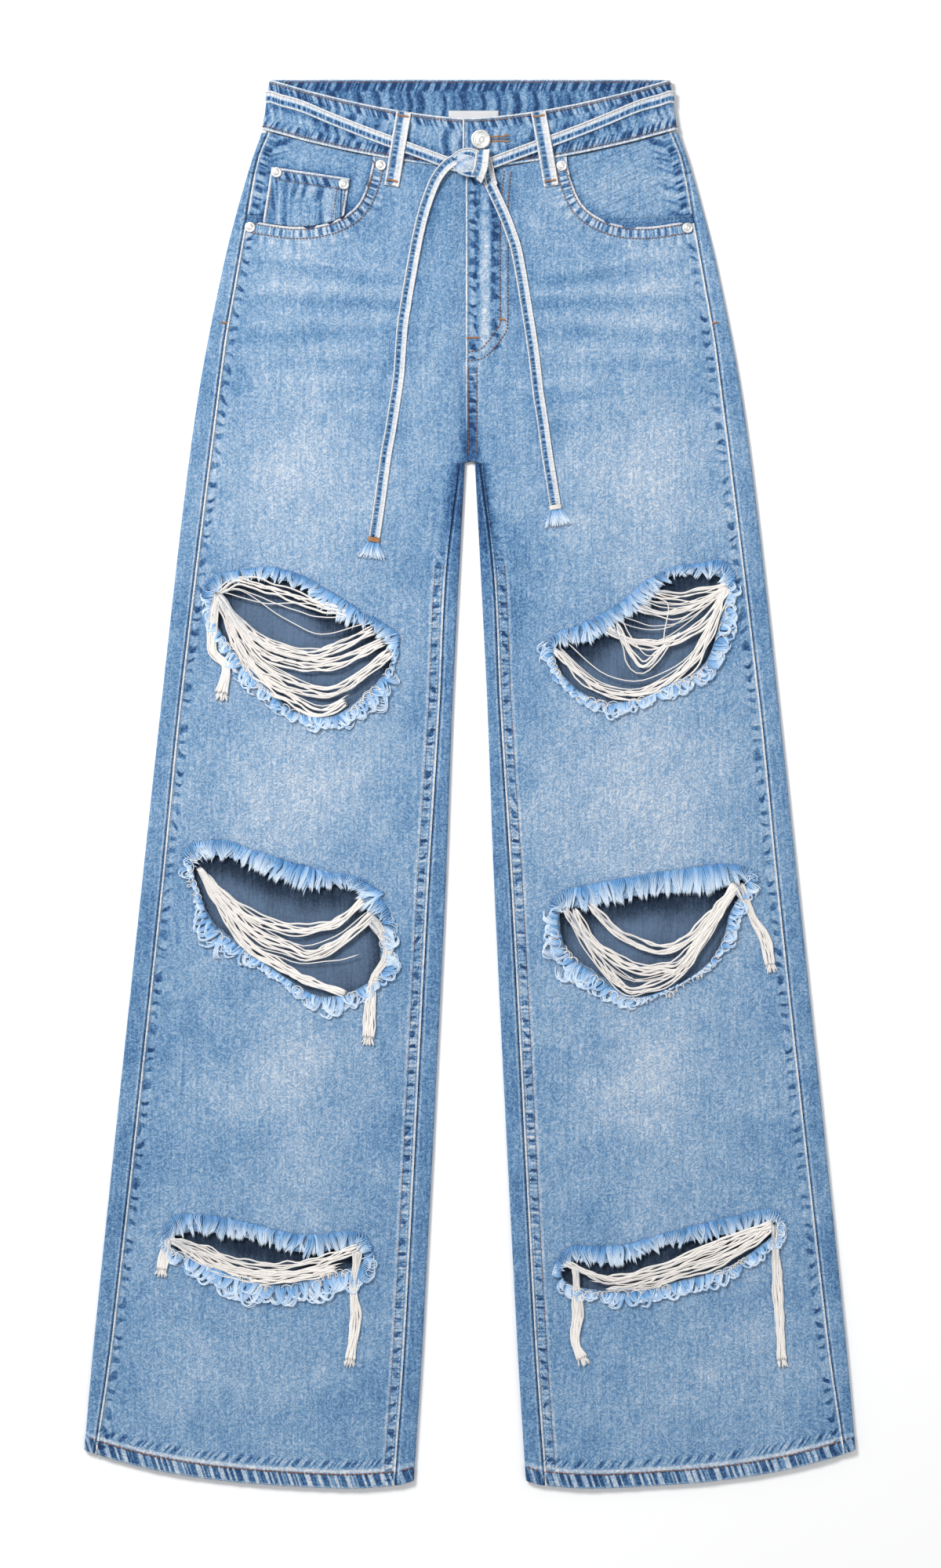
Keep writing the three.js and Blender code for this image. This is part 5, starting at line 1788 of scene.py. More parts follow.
# Straps of the knot: their route, half width, thickness, ridge height and fade.
KNOT_STRAPS = [
    # the shoulder that the left end leaves by
    ([(9.0, 501.5, 12.6), (12.2, 496.5, 13.0), (14.4, 490.5, 12.0), (15.6, 484.5, 10.6),
      (17.8, 477.0, 9.6)], 4.5, 1.5, 0.25, 0.57),
    # the collar over the top
    ([(-13.5, 497.0, 11.6), (-10.5, 499.5, 13.6), (-5.5, 502.0, 16.0), (0.5, 502.5, 17.0),
      (6.0, 500.0, 16.6)], 3.6, 1.6, 0.35, 0.5),
    # the tail that runs across below it
    ([(-12.0, 494.5, 11.6), (-7.5, 490.0, 14.6), (-1.5, 487.2, 16.0), (4.5, 486.5, 15.6)],
     3.8, 1.6, 0.35, 0.46),
]


def make_knot():
    """The knot: a fat folded lump that both halves of the belt run into, the strap that wraps over
    it from top to bottom, and three short straps beside that."""
    surface = Surface()
    polar = np.linspace(0, np.pi, 22)[:, None]
    turn = np.linspace(0, 2 * np.pi, 49)[None, :-1]
    folds = 1 + 0.08 * np.cos(3 * turn + 0.6) * np.sin(polar)
    folds = folds + 0.05 * np.cos(5 * turn) * np.sin(polar) ** 2
    x = KNOT_CENTRE[0] + KNOT_RADII[0] * folds * np.sin(polar) * np.cos(turn)
    y = KNOT_CENTRE[1] + KNOT_RADII[1] * folds * np.sin(polar) * np.sin(turn)
    z = KNOT_CENTRE[2] + KNOT_RADII[2] * np.cos(polar) * folds + 0 * turn
    crease = bump(y - 0.35 * x, 497.5, 1.3) + bump(y + 0.5 * x, 489.5, 1.3)
    z = z - 0.8 * crease * (np.cos(polar) > 0)
    # The two creases are pressed in and darkened as painted shade.
    surface.add(np.stack([x, y, z], -1), grid_quads(22, 48, closed=True), edge=0.3, lean=0.7,
                along=y, fade=0.47 + 0 * x, accent=-0.2 * crease)
    wrap = smooth_path([
        (10.6, 503.8, 10.8), (10.4, 505.4, 13.4), (10.1, 503.2, 16.2), (9.6, 497.8, 18.0),
        (8.9, 492.0, 18.4), (7.4, 486.8, 17.6), (5.6, 482.9, 15.4), (4.6, 481.4, 12.6),
        (5.2, 483.2, 10.8),
    ], 1.2)
    along = tangents(wrap)
    turned = mix(0.06, -0.62, soft_step(0.35, 0.75, np.linspace(0, 1, len(wrap))))
    across = np.column_stack([np.cos(turned), np.sin(turned), 0 * turned])
    outward = np.cross(across, along)
    outward *= np.sign(outward[len(wrap) // 2, 2])
    sweep(surface, wrap, across, outward, strap_section(5.6, 1.5, ridge=0.35), fade=0.66, accent=0)
    for route, half, cloth, ridge, fade in KNOT_STRAPS:
        path = smooth_path(route, 1.4)
        section = strap_section(half, cloth, ridge=ridge)
        sweep(surface, path, flat_across(path), (0, 0, 1), section, fade=fade, accent=0)
    return solid_piece(surface, "tie_knot", "strap_denim", "tie_denim", "tie_knot")


# ---- metal ----


def turned_piece(surface, profile, centre, sides=48):
    """A profile of (radius, height) turned about an upright axis, closed on the axis."""
    profile = smooth_profile(profile)
    turn = 2 * np.pi * np.arange(sides) / sides
    radius, height = profile.T
    ring = np.stack(
        [radius[:, None] * np.cos(turn), radius[:, None] * np.sin(turn), height[:, None] + 0 * turn], -1
    )
    first = surface.count
    surface.add(ring + np.array(centre), grid_quads(len(profile), sides, closed=True))
    for row in (0, len(profile) - 1):
        middle = surface.count
        surface.add((np.array([0, 0, height[row]]) + np.array(centre))[None], np.zeros((0, 3), int))
        round_it = first + row * sides + np.arange(sides)
        surface.faces.append(np.column_stack([np.full(sides, middle), round_it, np.roll(round_it, -1)]))


def smooth_profile(points):
    """Rounds a profile's corners by cutting them twice."""
    p = np.array(points, float)
    for _ in range(2):
        q = np.empty((2 * len(p) - 2, 2))
        q[0::2] = 0.8 * p[:-1] + 0.2 * p[1:]
        q[1::2] = 0.2 * p[:-1] + 0.8 * p[1:]
        p = np.vstack([p[0], q, p[-1]])
    return p


def box_centre(node):
    """Middle of a CAD node's box, with z at its underside, in millimetres."""
    low, high = (np.array(corner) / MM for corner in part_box(node))
    return np.array([(low[0] + high[0]) / 2, (low[1] + high[1]) / 2, low[2]])


def make_button():
    """A turned waist button: rolled rim, dished face with fine rings and a small plain boss."""
    surface = Surface()
    profile = [
        (0.4, 0), (6.8, 0), (7.9, 1), (7.9, 2.2), (7.3, 3.1), (6.3, 3.2), (5.7, 2.75), (5.2, 2.7),
        (4.9, 2.9), (4.5, 2.7), (2.4, 2.75), (2.1, 3.05), (1.5, 3.1), (0.9, 2.8), (0.3, 2.75),
    ]
    turned_piece(surface, profile, box_centre("button"), 64)
    return solid_piece(surface, "button", "metal", "silver_metal", "button")


def make_rivet(node):
    """A rivet: a small dome, sunk a little at its middle, inside a rolled rim."""
    surface = Surface()
    profile = [
        (0.2, 0), (4.2, 0), (4.3, 0.5), (3.9, 1.0), (3.2, 1.05), (2.7, 0.75), (2.2, 0.9), (1.5, 1.5),
        (0.9, 1.55), (0.2, 1.35),
    ]
    turned_piece(surface, profile, box_centre(node), 32)
    return solid_piece(surface, node, "metal", "silver_metal", node)


# ---- rips ----


def outward_normals(path):
    """Level directions out of a closed outline and along it, at each of its points."""
    step = np.roll(path, -1, axis=0) - np.roll(path, 1, axis=0)
    step /= np.linalg.norm(step, axis=1, keepdims=True)
    ahead = np.roll(path, -1, axis=0)
    area = np.sum(path[:, 0] * ahead[:, 1] - ahead[:, 0] * path[:, 1])
    return step[:, ::-1] * (1, -1) * np.sign(area), step


def locks(run, pitch, rng):
    """Which lock of yarns each root along a run belongs to, and its place across it, -1 to 1."""
    edges = np.cumsum(pitch * rng.uniform(0.65, 1.35, int(1.7 * run[-1] / pitch)))
    lock = np.searchsorted(edges, run)
    low = np.concatenate([[0], edges])[lock]
    return lock, 2 * (run - low) / (edges[lock] - low) - 1


def make_fringe(name, rip, seed):
    """The frayed warp round a rip, in locks of a few yarns that draw together at their tips. On
    the upper lip the locks hang from the fringe's outer side down over the hole; on the lower lip
    and the sides they loop outwards and back."""
    rng = np.random.default_rng(seed)
    hole = smooth_path(rip["hole"], settings().fringe_spacing / MM, closed=True)
    normal, ahead = outward_normals(hole)
    lip = nearest_on(smooth_path(rip["fringe"], 2.0, closed=True), hole[:, 0], hole[:, 1])[0]
    reach = np.abs(lip)
    run = run_along(hole)
    upper = normal[:, 1] > 0.15
    t = np.linspace(0, 1, 9)[None, :]
    surface = Surface()
    for layer, pitch in enumerate((6.0, 4.6)):
        lock, local = locks(run, pitch, rng)
        swing, size, curl, tint = (rng.uniform(-1, 1, lock.max() + 1)[lock] for _ in range(4))
        for over in (True, False):
            pick = np.flatnonzero(upper == over)
            count = len(pick)
            place, out, along = hole[pick], normal[pick], ahead[pick]
            swung, sized, curled, span, across = (
                v[pick][:, None] for v in (swing, size, curl, reach, local)
            )
            jitter = rng.normal(0, 1, (2, count, 1))
            if over:
                past = np.maximum(3.4 + 3.0 * sized - 1.2 * across**2 + 0.8 * jitter[0], -1.5)
                radial = mix(0.92 * span + 0.4 * jitter[1], -past, t**1.15)
                sideways = (3.6 * swung - 0.3 * pitch * across) * t**1.5
                sideways = sideways + 2.2 * curled * np.sin(1.5 * np.pi * t)
                lift = 0.5 + (1.3 + 0.4 * sized) * np.sin(np.pi * t**0.6) - 0.9 * t
            else:
                turn = 2.45 + 0.75 * curled
                length = span * (1.0 + 0.28 * sized) + 0.3 * jitter[0]
                radial = length * np.sin(turn * t) - 1.0
                circling = (1 - np.cos(turn * t)) / 1.7
                sideways = (0.62 * length * np.sign(swung) + 1.5 * swung) * circling
                sideways = sideways - 0.3 * pitch * across * np.sin(np.pi * t)
                lift = 0.4 + 1.5 * np.sin(np.pi * t) + 0.3 * jitter[1] * t
            flat = place[:, None] + out[:, None] * radial[..., None]
            flat = flat + along[:, None] * sideways[..., None]
            z = FRAY_BASE + lift + 0.5 * layer
            # Strands at a lock's flanks are darker: painted shade where the locks part.
            shade = 0.42 + 0.4 * tint[pick] - 0.34 * local[pick] ** 2 + 0.12 * layer
            shade = shade + (0 if over else 0.35)
            thickness = settings().yarn / MM / 2 * rng.uniform(0.8, 1.2, (count, 1))
            add_tubes(surface, np.concatenate([flat, z[..., None]], axis=2),
                      thickness * (1 - 0.35 * t), 4, shade=shade)
    return solid_piece(surface, "fringe_" + name, "fringe", "frayed_warp", "fray_" + name)


def add_curls(surface, rip, rng, radius):
    """Thin white hairs that curl in and out along the lower lip."""
    hole = smooth_path(rip["hole"], 1.2, closed=True)
    normal, ahead = outward_normals(hole)
    lower = np.flatnonzero(normal[:, 1] < 0.1)
    t = np.linspace(0, 1, 24)
    paths = []
    for start in rng.choice(lower, 18):
        at = start + t * rng.uniform(6, 15)
        index = at.astype(int)
        share = (at - index)[:, None]
        place, out, along = (
            mix(v[index % len(v)], v[(index + 1) % len(v)], share) for v in (hole, normal, ahead)
        )
        phase = rng.uniform(0, 6) + 2 * np.pi * rng.uniform(1.2, 2.6) * t
        size = rng.uniform(1.4, 3.0)
        flat = place + out * (rng.uniform(1, 5) + size * np.sin(phase))[:, None]
        flat = flat + along * (0.8 * size * np.cos(phase))[:, None]
        paths.append(np.column_stack([flat, 7.0 + 0.4 * np.sin(2 * phase)]))
    add_tubes(surface, paths, 0.42 * radius, 4, shade=rng.uniform(0, 1, len(paths)))


def hangs(route):
    """True for threads that dangle down over the cloth, not across the hole."""
    (x0, y0), (x1, y1) = route[0], route[-1]
    return y0 - y1 > 1.3 * abs(x1 - x0)


def make_threads(name, rip, seed):
    """The white weft left across a rip: bundles of strands along each route, tight at the corner
    that they fan out from and looser in the middle, with a few single stray strands."""
    rng = np.random.default_rng(seed)
    radius = settings().loose_thread / MM / 2
    surface = Surface()
    for route in rip["threads"]:
        path = smooth_path(route, 3.6)
        run = run_along(path)
        share = run / run[-1]
        across = np.column_stack([-tangents(path)[:, 1], tangents(path)[:, 0]])
        dangling = hangs(route)
        count = 11 if dangling else 5 + 2 * int(run[-1] > 130)
        paths = []
        for i in range(count):
            place = (i - (count - 1) / 2) / count
            if dangling:
                width = 8.6 * (0.8 + 0.2 * np.sin(9 * share + seed) + 0.3 * share**6)
                sway = 0.7 * wavy(run, 0 * run, seed + i, 24, 2)
            else:
                width = 3.0 + 6.0 * np.sin(np.pi * np.minimum(0.9 * share, 0.8))
                sway = 1.7 * wavy(run, 0 * run, seed * 3 + i, 34, 2)
            offset = width * place + sway + rng.normal(0, 0.25)
            flat = path + across * offset[:, None]
            slack = 0 if dangling else rng.normal(0.3, 0.8)
            flat[:, 1] -= slack * np.sin(np.pi * share)
            z = 6.1 + 0.55 * wavy(run, 0 * run, seed * 5 + i, 22, 2) + rng.uniform(-0.3, 0.5)
            ends = 0.5 * (np.exp(-run / 5) + np.exp(-(run[-1] - run) / 5))
            paths.append(np.column_stack([flat, z - ends * (0 if dangling else 1)]))
        shade = rng.uniform(0, 1, count)
        sizes = radius * rng.uniform(0.72, 1.15, (count, 1))
        add_tubes(surface, paths, sizes * np.ones(len(path)), 6, shade=shade)
        if dangling:
            add_brush(surface, path[-1], tangents(path)[-1], rng)
    add_strays(surface, rip, rng, radius)
    add_curls(surface, rip, rng, radius)
    return solid_piece(surface, "weft_" + name, "white_thread", "white_thread", "threads_" + name)


def add_brush(surface, tip, ahead, rng):
    """The frayed end of a dangling bundle: short hairs that spread from its tip."""
    count, t = 26, np.linspace(0, 1, 6)[None, :]
    spread = rng.uniform(-1, 1, (count, 1))
    length = rng.uniform(4.0, 8.5, (count, 1))
    beside = np.array([-ahead[1], ahead[0]])
    flat = (
        tip + ahead * (length * t - 2.5)[..., None]
        + beside * (3.2 * spread + 2.2 * spread * t**2 + rng.normal(0, 0.4, (count, 1)) * t)[..., None]
    )
    z = 5.7 + 0.9 * rng.uniform(0, 1, (count, 1)) * np.sin(np.pi * t * 0.8)
    z = z + 0.3 * rng.uniform(0, 1, (count, 1))
    hairs = np.concatenate([flat, z[..., None]], axis=2)
    add_tubes(surface, hairs, 0.42, 5, shade=rng.uniform(0, 1, count))


def add_strays(surface, rip, rng, radius):
    """Single thin strands that cross from one bundle to the next."""
    across = [route for route in rip["threads"] if not hangs(route)]
    for first, second in zip(across[:-1], across[1:]):
        a, b = smooth_path(first, 4.0), smooth_path(second, 4.0)
        t = np.linspace(0, 1, 26)
        a = np.column_stack([np.interp(t, np.linspace(0, 1, len(a)), a[:, k]) for k in range(2)])
        b = np.column_stack([np.interp(t, np.linspace(0, 1, len(b)), b[:, k]) for k in range(2)])
        paths = []
        for _ in range(3):
            start, end = rng.uniform(0, 1, 2)
            cross = mix(start, end, soft_step(0.2, 0.8, t))
            flat = mix(a, b, cross[:, None]) + 0.8 * rng.normal(0, 1, 2)
            flat[:, 1] += 0.9 * wavy(60 * t, 0 * t, int(rng.integers(1e6)), 21, 2)
            paths.append(np.column_stack([flat, np.full(len(t), rng.uniform(5.7, 6.9))]))
        add_tubes(surface, paths, radius * 0.62, 5, shade=rng.uniform(0, 1, len(paths)))


# ---- sewing ----


def add_stitches(surface, path, length=None, width=None, gap=None):
    """A row of stitches along a path [x, y, z]: short round-ended threads whose ends dip into the
    cloth, one after another with a small gap."""
    size = settings()
    length = length or size.stitch / MM
    gap = gap or size.stitch_gap / MM
    width = width or size.stitch_width / MM
    path = np.asarray(path, float)
    run = run_along(path)
    starts = np.arange(0, run[-1] - length, length + gap)
    if len(starts) == 0:
        starts = np.array([0.0])
    t = np.linspace(0, 1, 5)
    at = starts[:, None] + length * t[None, :]
    points = np.stack([np.interp(at, run, path[:, k]) for k in range(3)], -1)
    points[:, :, 2] += width * (0.55 * np.sin(np.pi * t) - 0.28)
    taper = width / 2 * np.array([0.5, 0.9, 1.0, 0.9, 0.5])
    add_tubes(surface, points, taper, 5, shade=0.5)


def on_front(side, x, y, above=0.3):
    """Points on the front's top face, a little above it."""
    return np.column_stack([side * x, y, front_top(x, y) + above])


def pocket_row(side, depth):
    """A line along a pocket opening, at a depth below its edge."""
    x = np.linspace(77.3, 176, 120)
    edge = np.column_stack([x, pocket_opening(x)])
    along = tangents(edge)
    below = edge + np.column_stack([along[:, 1], -along[:, 0]]) * depth
    reach = outseam(below[:, 1]) - 2
    inside = (below[:, 0] < reach) & (below[:, 1] < front_band_bottom(below[:, 0]) - 1.5)
    return on_front(side, below[inside, 0], below[inside, 1], 0.35)


FLY_INNER = [(27.3, 489.5), (25.4, 470), (24.2, 452), (24, 420), (24.2, 385), (24, 368), (18.6, 359.3),
             (9.8, 348), (3, 345.6), (-2.6, 344.9)]
FLY_OUTER = [(33, 489), (31, 470), (30.3, 452), (30.2, 420), (30.3, 385), (30, 368), (28.6, 361),
             (18.6, 346.8), (9.8, 339.9), (3, 338.4), (-2.6, 338)]
CLOSE_STITCH = 2.3  # length of a stitch on the fly and the waistband
BARTACKS = [
    ((-2.8, 356.2), (8.6, 356.2)), ((23.6, 371.5), (28.8, 370)), ((193.4, 368), (198.4, 368.4)),
    ((-198.4, 368.4), (-193.4, 368)),
]


def front_path(points, spacing=1.5, above=0.35):
    """A smooth path over the left front through signed points [x, y]."""
    path = smooth_path(points, spacing)
    return np.column_stack([path, front_top(np.abs(path[:, 0]), path[:, 1]) + above])


def band_row(distance, above):
    """A line along the waistband: a distance above its lower edge, or below its upper one where
    it is negative."""
    lower, upper, outward = band_stations()
    height = np.linalg.norm(upper - lower, axis=1)
    offset = np.where(distance > 0, distance, height + distance)
    return lower + (upper - lower) * (offset / height)[:, None] + outward * above


def make_topstitching():
    """All the sewing that shows, in one piece for each colour of thread."""
    rust, pale = Surface(), Surface()
    hem_rows = (
        (inseam(-545.0) + 1.5, outseam(-525.0) - 1.5, 160, 0.35, 3.2, 1.35),
        (outseam(-525.0) + 2.2, outer_edge(-525.0) - 1.5, 8, 0.25, 3.0, 1.3),
        (inner_edge(-548.0) + 1.5, inseam(-548.0) - 2, 8, 0.25, 3.0, 1.3),
    )
    for _, side in SIDES:
        for start, end, count, above, length, width in hem_rows:
            x = np.linspace(start, end, count)
            line = on_front(side, x, hem_line(x) + HEM_STITCHING, above)
            add_stitches(rust, line, length=length, width=width)
        for depth in (1.9, 9.2):
            add_stitches(rust, pocket_row(side, depth), length=2.2)
        y = np.arange(-546.0, 180.0, 3.0)
        add_stitches(rust, on_front(side, inseam(y) + 8.9, y, 0.25), width=0.6)
        add_stitches(pale, on_front(side, inseam(y) + 3.4, y, 0.25), width=0.6, length=2.0, gap=1.3)
    for points in (FLY_INNER, FLY_OUTER):
        add_stitches(rust, front_path(points), length=CLOSE_STITCH)
    y = np.arange(264.0, 338.0, 2.0)
    for x in (-1.2, 5.6):
        line = np.column_stack([0 * y + x, y, front_top(np.abs(x) + 0 * y, y) + 0.3])
        add_stitches(rust, line)
    for distance in (2.9, -2.9):
        add_stitches(rust, band_row(distance, 0.25), length=CLOSE_STITCH)
    inner = band_row(-2.2, -(BAND_CLOTH + 0.1))
    on_back = (inner[:, 2] < 5.4) & (inner[:, 1] > 550) & (np.abs(inner[:, 0]) < 154)
    add_stitches(rust, inner[on_back], length=CLOSE_STITCH, width=0.9)
    add_coin_rows(rust)
    add_seat_rows(rust)
    solid_loose(rust, "topstitching_rust", "rust")
    solid_loose(pale, "topstitching_pale", "white_thread")


def add_coin_rows(surface):
    """Rows along the coin pocket's top hem and its sides."""
    x = np.linspace(96.5, 157.0, 60)
    for down in (2.4, 9.4):
        line = on_front(-1, x, coin_top(x) - down, -0.05)
        add_stitches(surface, line, length=2.1, width=0.65)
    y = np.arange(452.0, 478.0, 1.5)
    left, right = coin_edges(y)
    for x in (left + 2.4, right - 2.4, left + 9.0):
        add_stitches(surface, on_front(-1, x, y, -0.05), length=2.1, width=0.65)


def add_seat_rows(surface):
    """Rows under the seat: below the yoke seam and on both sides of the centre seam."""
    for _, side in SIDES:
        for drop in (3.0, 9.0):
            x = np.linspace(4, 168, 110)
            y = yoke_seam(x) - drop
            z = back_bottom(x, y) - 0.12
            add_stitches(surface, np.column_stack([side * x, y, z]), width=0.5)
        y = np.arange(270.0, 450.0, 3.0)
        z = back_bottom(3.5 + 0 * y, y) - 0.05
        add_stitches(surface, np.column_stack([0 * y + side * 3.5, y, z]), width=0.5)


def solid_loose(surface, name, finish):
    """A closed piece with no CAD node of its own."""
    piece = surface.build(name, [finish_named(finish)])
    weld(piece, outwards=True)
    return finish_piece(piece, "copper_thread" if finish != "white_thread" else "white_thread")


def make_bartacks():
    """Dense zigzags of orange-brown thread where the sewing takes load, and the buttonhole."""
    surface = Surface()
    for start, end in BARTACKS:
        add_bar(surface, start, end, front_top(abs(start[0]), start[1]) + 0.5)
    for _, start, end in LOOPS[:2]:
        a, b = np.array(start, float), np.array(end, float)
        _, _, beside = heading(a, b)
        for share, height in ((0.06, 10.2), (0.93, 8.9)):
            middle = a + (b - a) * share
            add_bar(surface, middle - 4.8 * beside, middle + 4.8 * beside, height)
    add_buttonhole(surface)
    return solid_loose(surface, "bartacks", "ochre")


BAR_WIDTH = 1.5
BAR_PITCH = 0.55  # from one turn of a bartack's zigzag to the next


def add_bar(surface, start, end, height):
    """One bartack: a zigzag of thread between two parallel lines."""
    start, end = np.array(start, float), np.array(end, float)
    length, ahead, beside = heading(start, end)
    count = int(length / BAR_PITCH)
    along = np.linspace(0, length, count)
    swing = BAR_WIDTH / 2 * (-1.0) ** np.arange(count)
    zigzag = start + ahead * along[:, None] + beside * swing[:, None]
    path = np.column_stack([zigzag, height + 0.1 * np.cos(np.pi * np.arange(count))])
    doubled = np.repeat(path, 2, axis=0)[:-1] + 1e-4 * np.arange(2 * count - 1)[:, None]
    add_tubes(surface, [doubled], 0.3, 5, shade=0.5)


BUTTONHOLE_EYE = 29.5  # where the keyhole widens
BUTTONHOLE_END = 31.5


def buttonhole_line(x):
    """Height of the buttonhole's middle."""
    return 514.0 + 0.045 * (x - 16)


def make_buttonhole_slit():
    """The dark slit that the buttonhole's stitches close in."""
    x = np.linspace(15, BUTTONHOLE_END, 14)
    path = np.column_stack([x, buttonhole_line(x), 0 * x + BAND_FRONT_FACE + 1.7])
    surface = Surface()
    add_tubes(surface, [path], 0.7 + 0.6 * bump(x, BUTTONHOLE_EYE, 1.6), 6)
    return solid_loose(surface, "buttonhole_slit", "inside")


def add_buttonhole(surface):
    """Close stitches round a keyhole slit that runs out from behind the button."""
    x = np.linspace(16, BUTTONHOLE_END, 40)
    lift = BAND_FRONT_FACE + 2.0
    for edge in (-1, 1):
        swell = 1.1 + 0.7 * bump(x, BUTTONHOLE_EYE, 2.0)
        y = buttonhole_line(x) + edge * swell
        starts = np.column_stack([x, y, 0 * x + lift])
        ends = starts + (0, 1.5 * edge, 0)
        t = np.linspace(0, 1, 4)[None, :, None]
        paths = starts[:, None] * (1 - t) + ends[:, None] * t
        add_tubes(surface, paths, 0.24, 4, shade=0.5)


# ---- stage ----

CAMERA_HEIGHT_SEEN = 1.25  # metres of the stage from the top to the bottom of the frame
CAMERA_SHIFT = 0.0005  # metres that the camera stands to the wearer's left of the middle
LENS = 100.0
SENSOR = 36.0
FLOOR_REACH = 9.0
FLOOR_DROP = 0.0004  # keeps the floor clear of the faces that rest on it
SKY_COLOUR = (0.985, 0.99, 0.995)
SKY_STRENGTH = 0.54


def make_stage():
    """A wide pale floor, a large soft lamp from the upper left, a weaker one opposite, an even
    pale sky, and a camera straight above the garment."""
    finish = Finish("studio_floor")
    grain = finish.noise(3.0, detail=2.0)
    colour = finish.ramp(grain, [(0.2, (0.975, 0.975, 0.975)), (0.8, (0.985, 0.985, 0.985))])
    finish.close(colour, 0.9, Specular_IOR_Level=0.0)
    mesh = bpy.data.meshes.new("floor")
    corners = [(x * FLOOR_REACH, y * FLOOR_REACH, -FLOOR_DROP)
               for x, y in ((-1, -1), (1, -1), (1, 1), (-1, 1))]
    mesh.from_pydata(corners, [], [(0, 1, 2, 3)])
    mesh.materials.append(finish.material)
    floor = bpy.data.objects.new("floor", mesh)
    bpy.context.scene.collection.objects.link(floor)
    for name, place, power, size in (
        ("key_lamp", (-1.3, 1.5, 2.2), 72.0, 0.9), ("fill_lamp", (1.8, -1.2, 2.6), 10.0, 2.4),
    ):
        lamp = bpy.data.lights.new(name, "AREA")
        lamp.energy = power
        lamp.shape = "DISK"
        lamp.size = size
        holder = bpy.data.objects.new(name, lamp)
        holder.location = place
        holder.rotation_euler = (-Vector(place)).to_track_quat("-Z", "Y").to_euler()
        bpy.context.scene.collection.objects.link(holder)
    world = bpy.data.worlds.new("studio")
    world.use_nodes = True
    sky = world.node_tree.nodes["Background"].inputs
    sky["Color"].default_value = (*SKY_COLOUR, 1.0)
    sky["Strength"].default_value = SKY_STRENGTH
    bpy.context.scene.world = world
    camera = bpy.data.cameras.new("camera")
    camera.lens = LENS
    camera.sensor_width = SENSOR
    camera.clip_end = 50
    eye = bpy.data.objects.new("camera", camera)
    middle = (Vector(cad_box[0]) + Vector(cad_box[1])) / 2
    eye.location = (CAMERA_SHIFT, 0.0, middle.z + CAMERA_HEIGHT_SEEN * LENS / SENSOR)
    bpy.context.scene.collection.objects.link(eye)
    bpy.context.scene.camera = eye
    bpy.context.scene.view_settings.view_transform = "Standard"


# ---- add-on ----


class JEANS_OT_stage(bpy.types.Operator):
    """Adds the floor, the lamps and the camera straight above"""

    bl_idname = "jeans.stage"
    bl_label = "Stage"
    bl_options = {"REGISTER", "UNDO"}

    def execute(self, context):
        make_stage()
        return {"FINISHED"}


class JEANS_OT_tie_ends(bpy.types.Operator):
    """Adds the tie belt's two free ends with their bound tips and tassels"""

    bl_idname = "jeans.tie_ends"
    bl_label = "Tie ends"
    bl_options = {"REGISTER", "UNDO"}

    def execute(self, context):
        for name, _ in SIDES:
            make_tie_end(name)
        return {"FINISHED"}


class JEANS_OT_legs(bpy.types.Operator):
    """Adds the front and back leg panels and the back yokes"""

    bl_idname = "jeans.legs"
    bl_label = "Leg panels"
    bl_options = {"REGISTER", "UNDO"}

    def execute(self, context):
        for name, side in SIDES:
            make_front(name, side)
            make_back(name, side)
            make_yoke(name, side)
        return {"FINISHED"}


class JEANS_OT_pockets(bpy.types.Operator):
    """Adds the pocket facings, the coin pocket and the back pockets"""

    bl_idname = "jeans.pockets"
    bl_label = "Pockets"
    bl_options = {"REGISTER", "UNDO"}

    def execute(self, context):
        for name, side in SIDES:
            make_facing(name, side)
            make_back_pocket(name, side)
        make_coin_pocket()
        return {"FINISHED"}


class JEANS_OT_waist(bpy.types.Operator):
    """Adds the waistband, its blank label and the belt loops"""

    bl_idname = "jeans.waist"
    bl_label = "Waistband"
    bl_options = {"REGISTER", "UNDO"}

    def execute(self, context):
        make_waistband()
        make_label()
        for name, start, end in LOOPS:
            make_belt_loop(name, start, end)
        return {"FINISHED"}


class JEANS_OT_tie_belt(bpy.types.Operator):
    """Adds the tie belt round the waist and its knot"""

    bl_idname = "jeans.tie_belt"
    bl_label = "Tie belt"
    bl_options = {"REGISTER", "UNDO"}

    def execute(self, context):
        make_tie_belt()
        make_knot()
        return {"FINISHED"}


class JEANS_OT_metal(bpy.types.Operator):
    """Adds the waist button and the rivets"""

    bl_idname = "jeans.metal"
    bl_label = "Button and rivets"
    bl_options = {"REGISTER", "UNDO"}

    def execute(self, context):
        make_button()
        for node in sorted(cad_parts):
            if node.startswith("rivet_"):
                make_rivet(node)
        return {"FINISHED"}


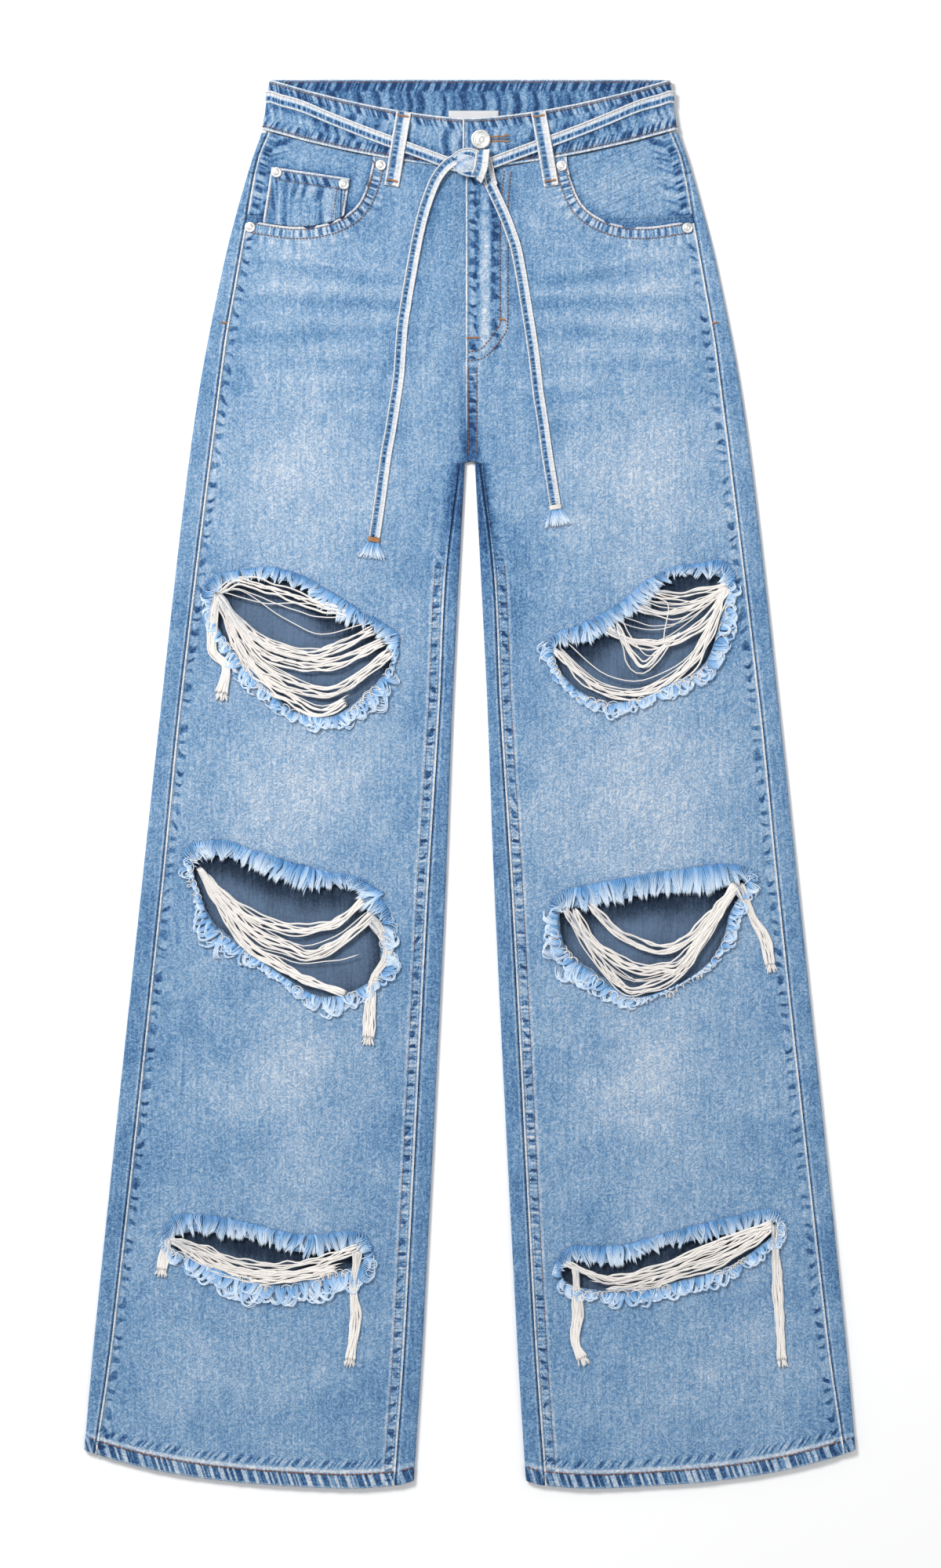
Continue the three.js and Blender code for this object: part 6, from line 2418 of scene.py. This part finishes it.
class JEANS_OT_rips(bpy.types.Operator):
    """Adds the frayed fringe and the white threads of every rip"""

    bl_idname = "jeans.rips"
    bl_label = "Rips"
    bl_options = {"REGISTER", "UNDO"}

    def execute(self, context):
        for seed, (name, rip) in enumerate(RIPS.items(), start=11):
            make_fringe(name, rip, seed)
            make_threads(name, rip, seed)
        return {"FINISHED"}


class JEANS_OT_sewing(bpy.types.Operator):
    """Adds the rows of topstitching and the bartacks"""

    bl_idname = "jeans.sewing"
    bl_label = "Sewing"
    bl_options = {"REGISTER", "UNDO"}

    def execute(self, context):
        make_topstitching()
        make_bartacks()
        make_buttonhole_slit()
        return {"FINISHED"}


STEPS = (
    JEANS_OT_stage, JEANS_OT_tie_ends, JEANS_OT_legs, JEANS_OT_pockets, JEANS_OT_waist,
    JEANS_OT_tie_belt, JEANS_OT_metal, JEANS_OT_rips, JEANS_OT_sewing,
)


class JEANS_PT_panel(bpy.types.Panel):
    """Lists the garment's steps, sizes and colours"""

    bl_label = "Jeans"
    bl_idname = "JEANS_PT_panel"
    bl_space_type = "VIEW_3D"
    bl_region_type = "UI"
    bl_category = "Jeans"

    def draw(self, context):
        column = self.layout.column()
        for step in STEPS:
            column.operator(step.bl_idname)
        for group in (context.scene.jeans_sizes, context.scene.denim_colours, context.scene.trim_colours):
            box = column.box()
            for key in group.__annotations__:
                box.prop(group, key)


CLASSES = (JeansSizes, DenimColours, TrimColours) + STEPS + (JEANS_PT_panel,)


def register():
    """Adds the steps, the panel and the settings to Blender."""
    for each in CLASSES:
        bpy.utils.register_class(each)
    bpy.types.Scene.jeans_sizes = bpy.props.PointerProperty(type=JeansSizes)
    bpy.types.Scene.denim_colours = bpy.props.PointerProperty(type=DenimColours)
    bpy.types.Scene.trim_colours = bpy.props.PointerProperty(type=TrimColours)


def unregister():
    """Takes them away again."""
    del bpy.types.Scene.trim_colours
    del bpy.types.Scene.denim_colours
    del bpy.types.Scene.jeans_sizes
    for each in reversed(CLASSES):
        bpy.utils.unregister_class(each)


def main():
    """Runs every step."""
    register()
    for step in STEPS:
        getattr(bpy.ops.jeans, step.bl_idname.split(".")[1])()


if __name__ == "__main__":
    main()
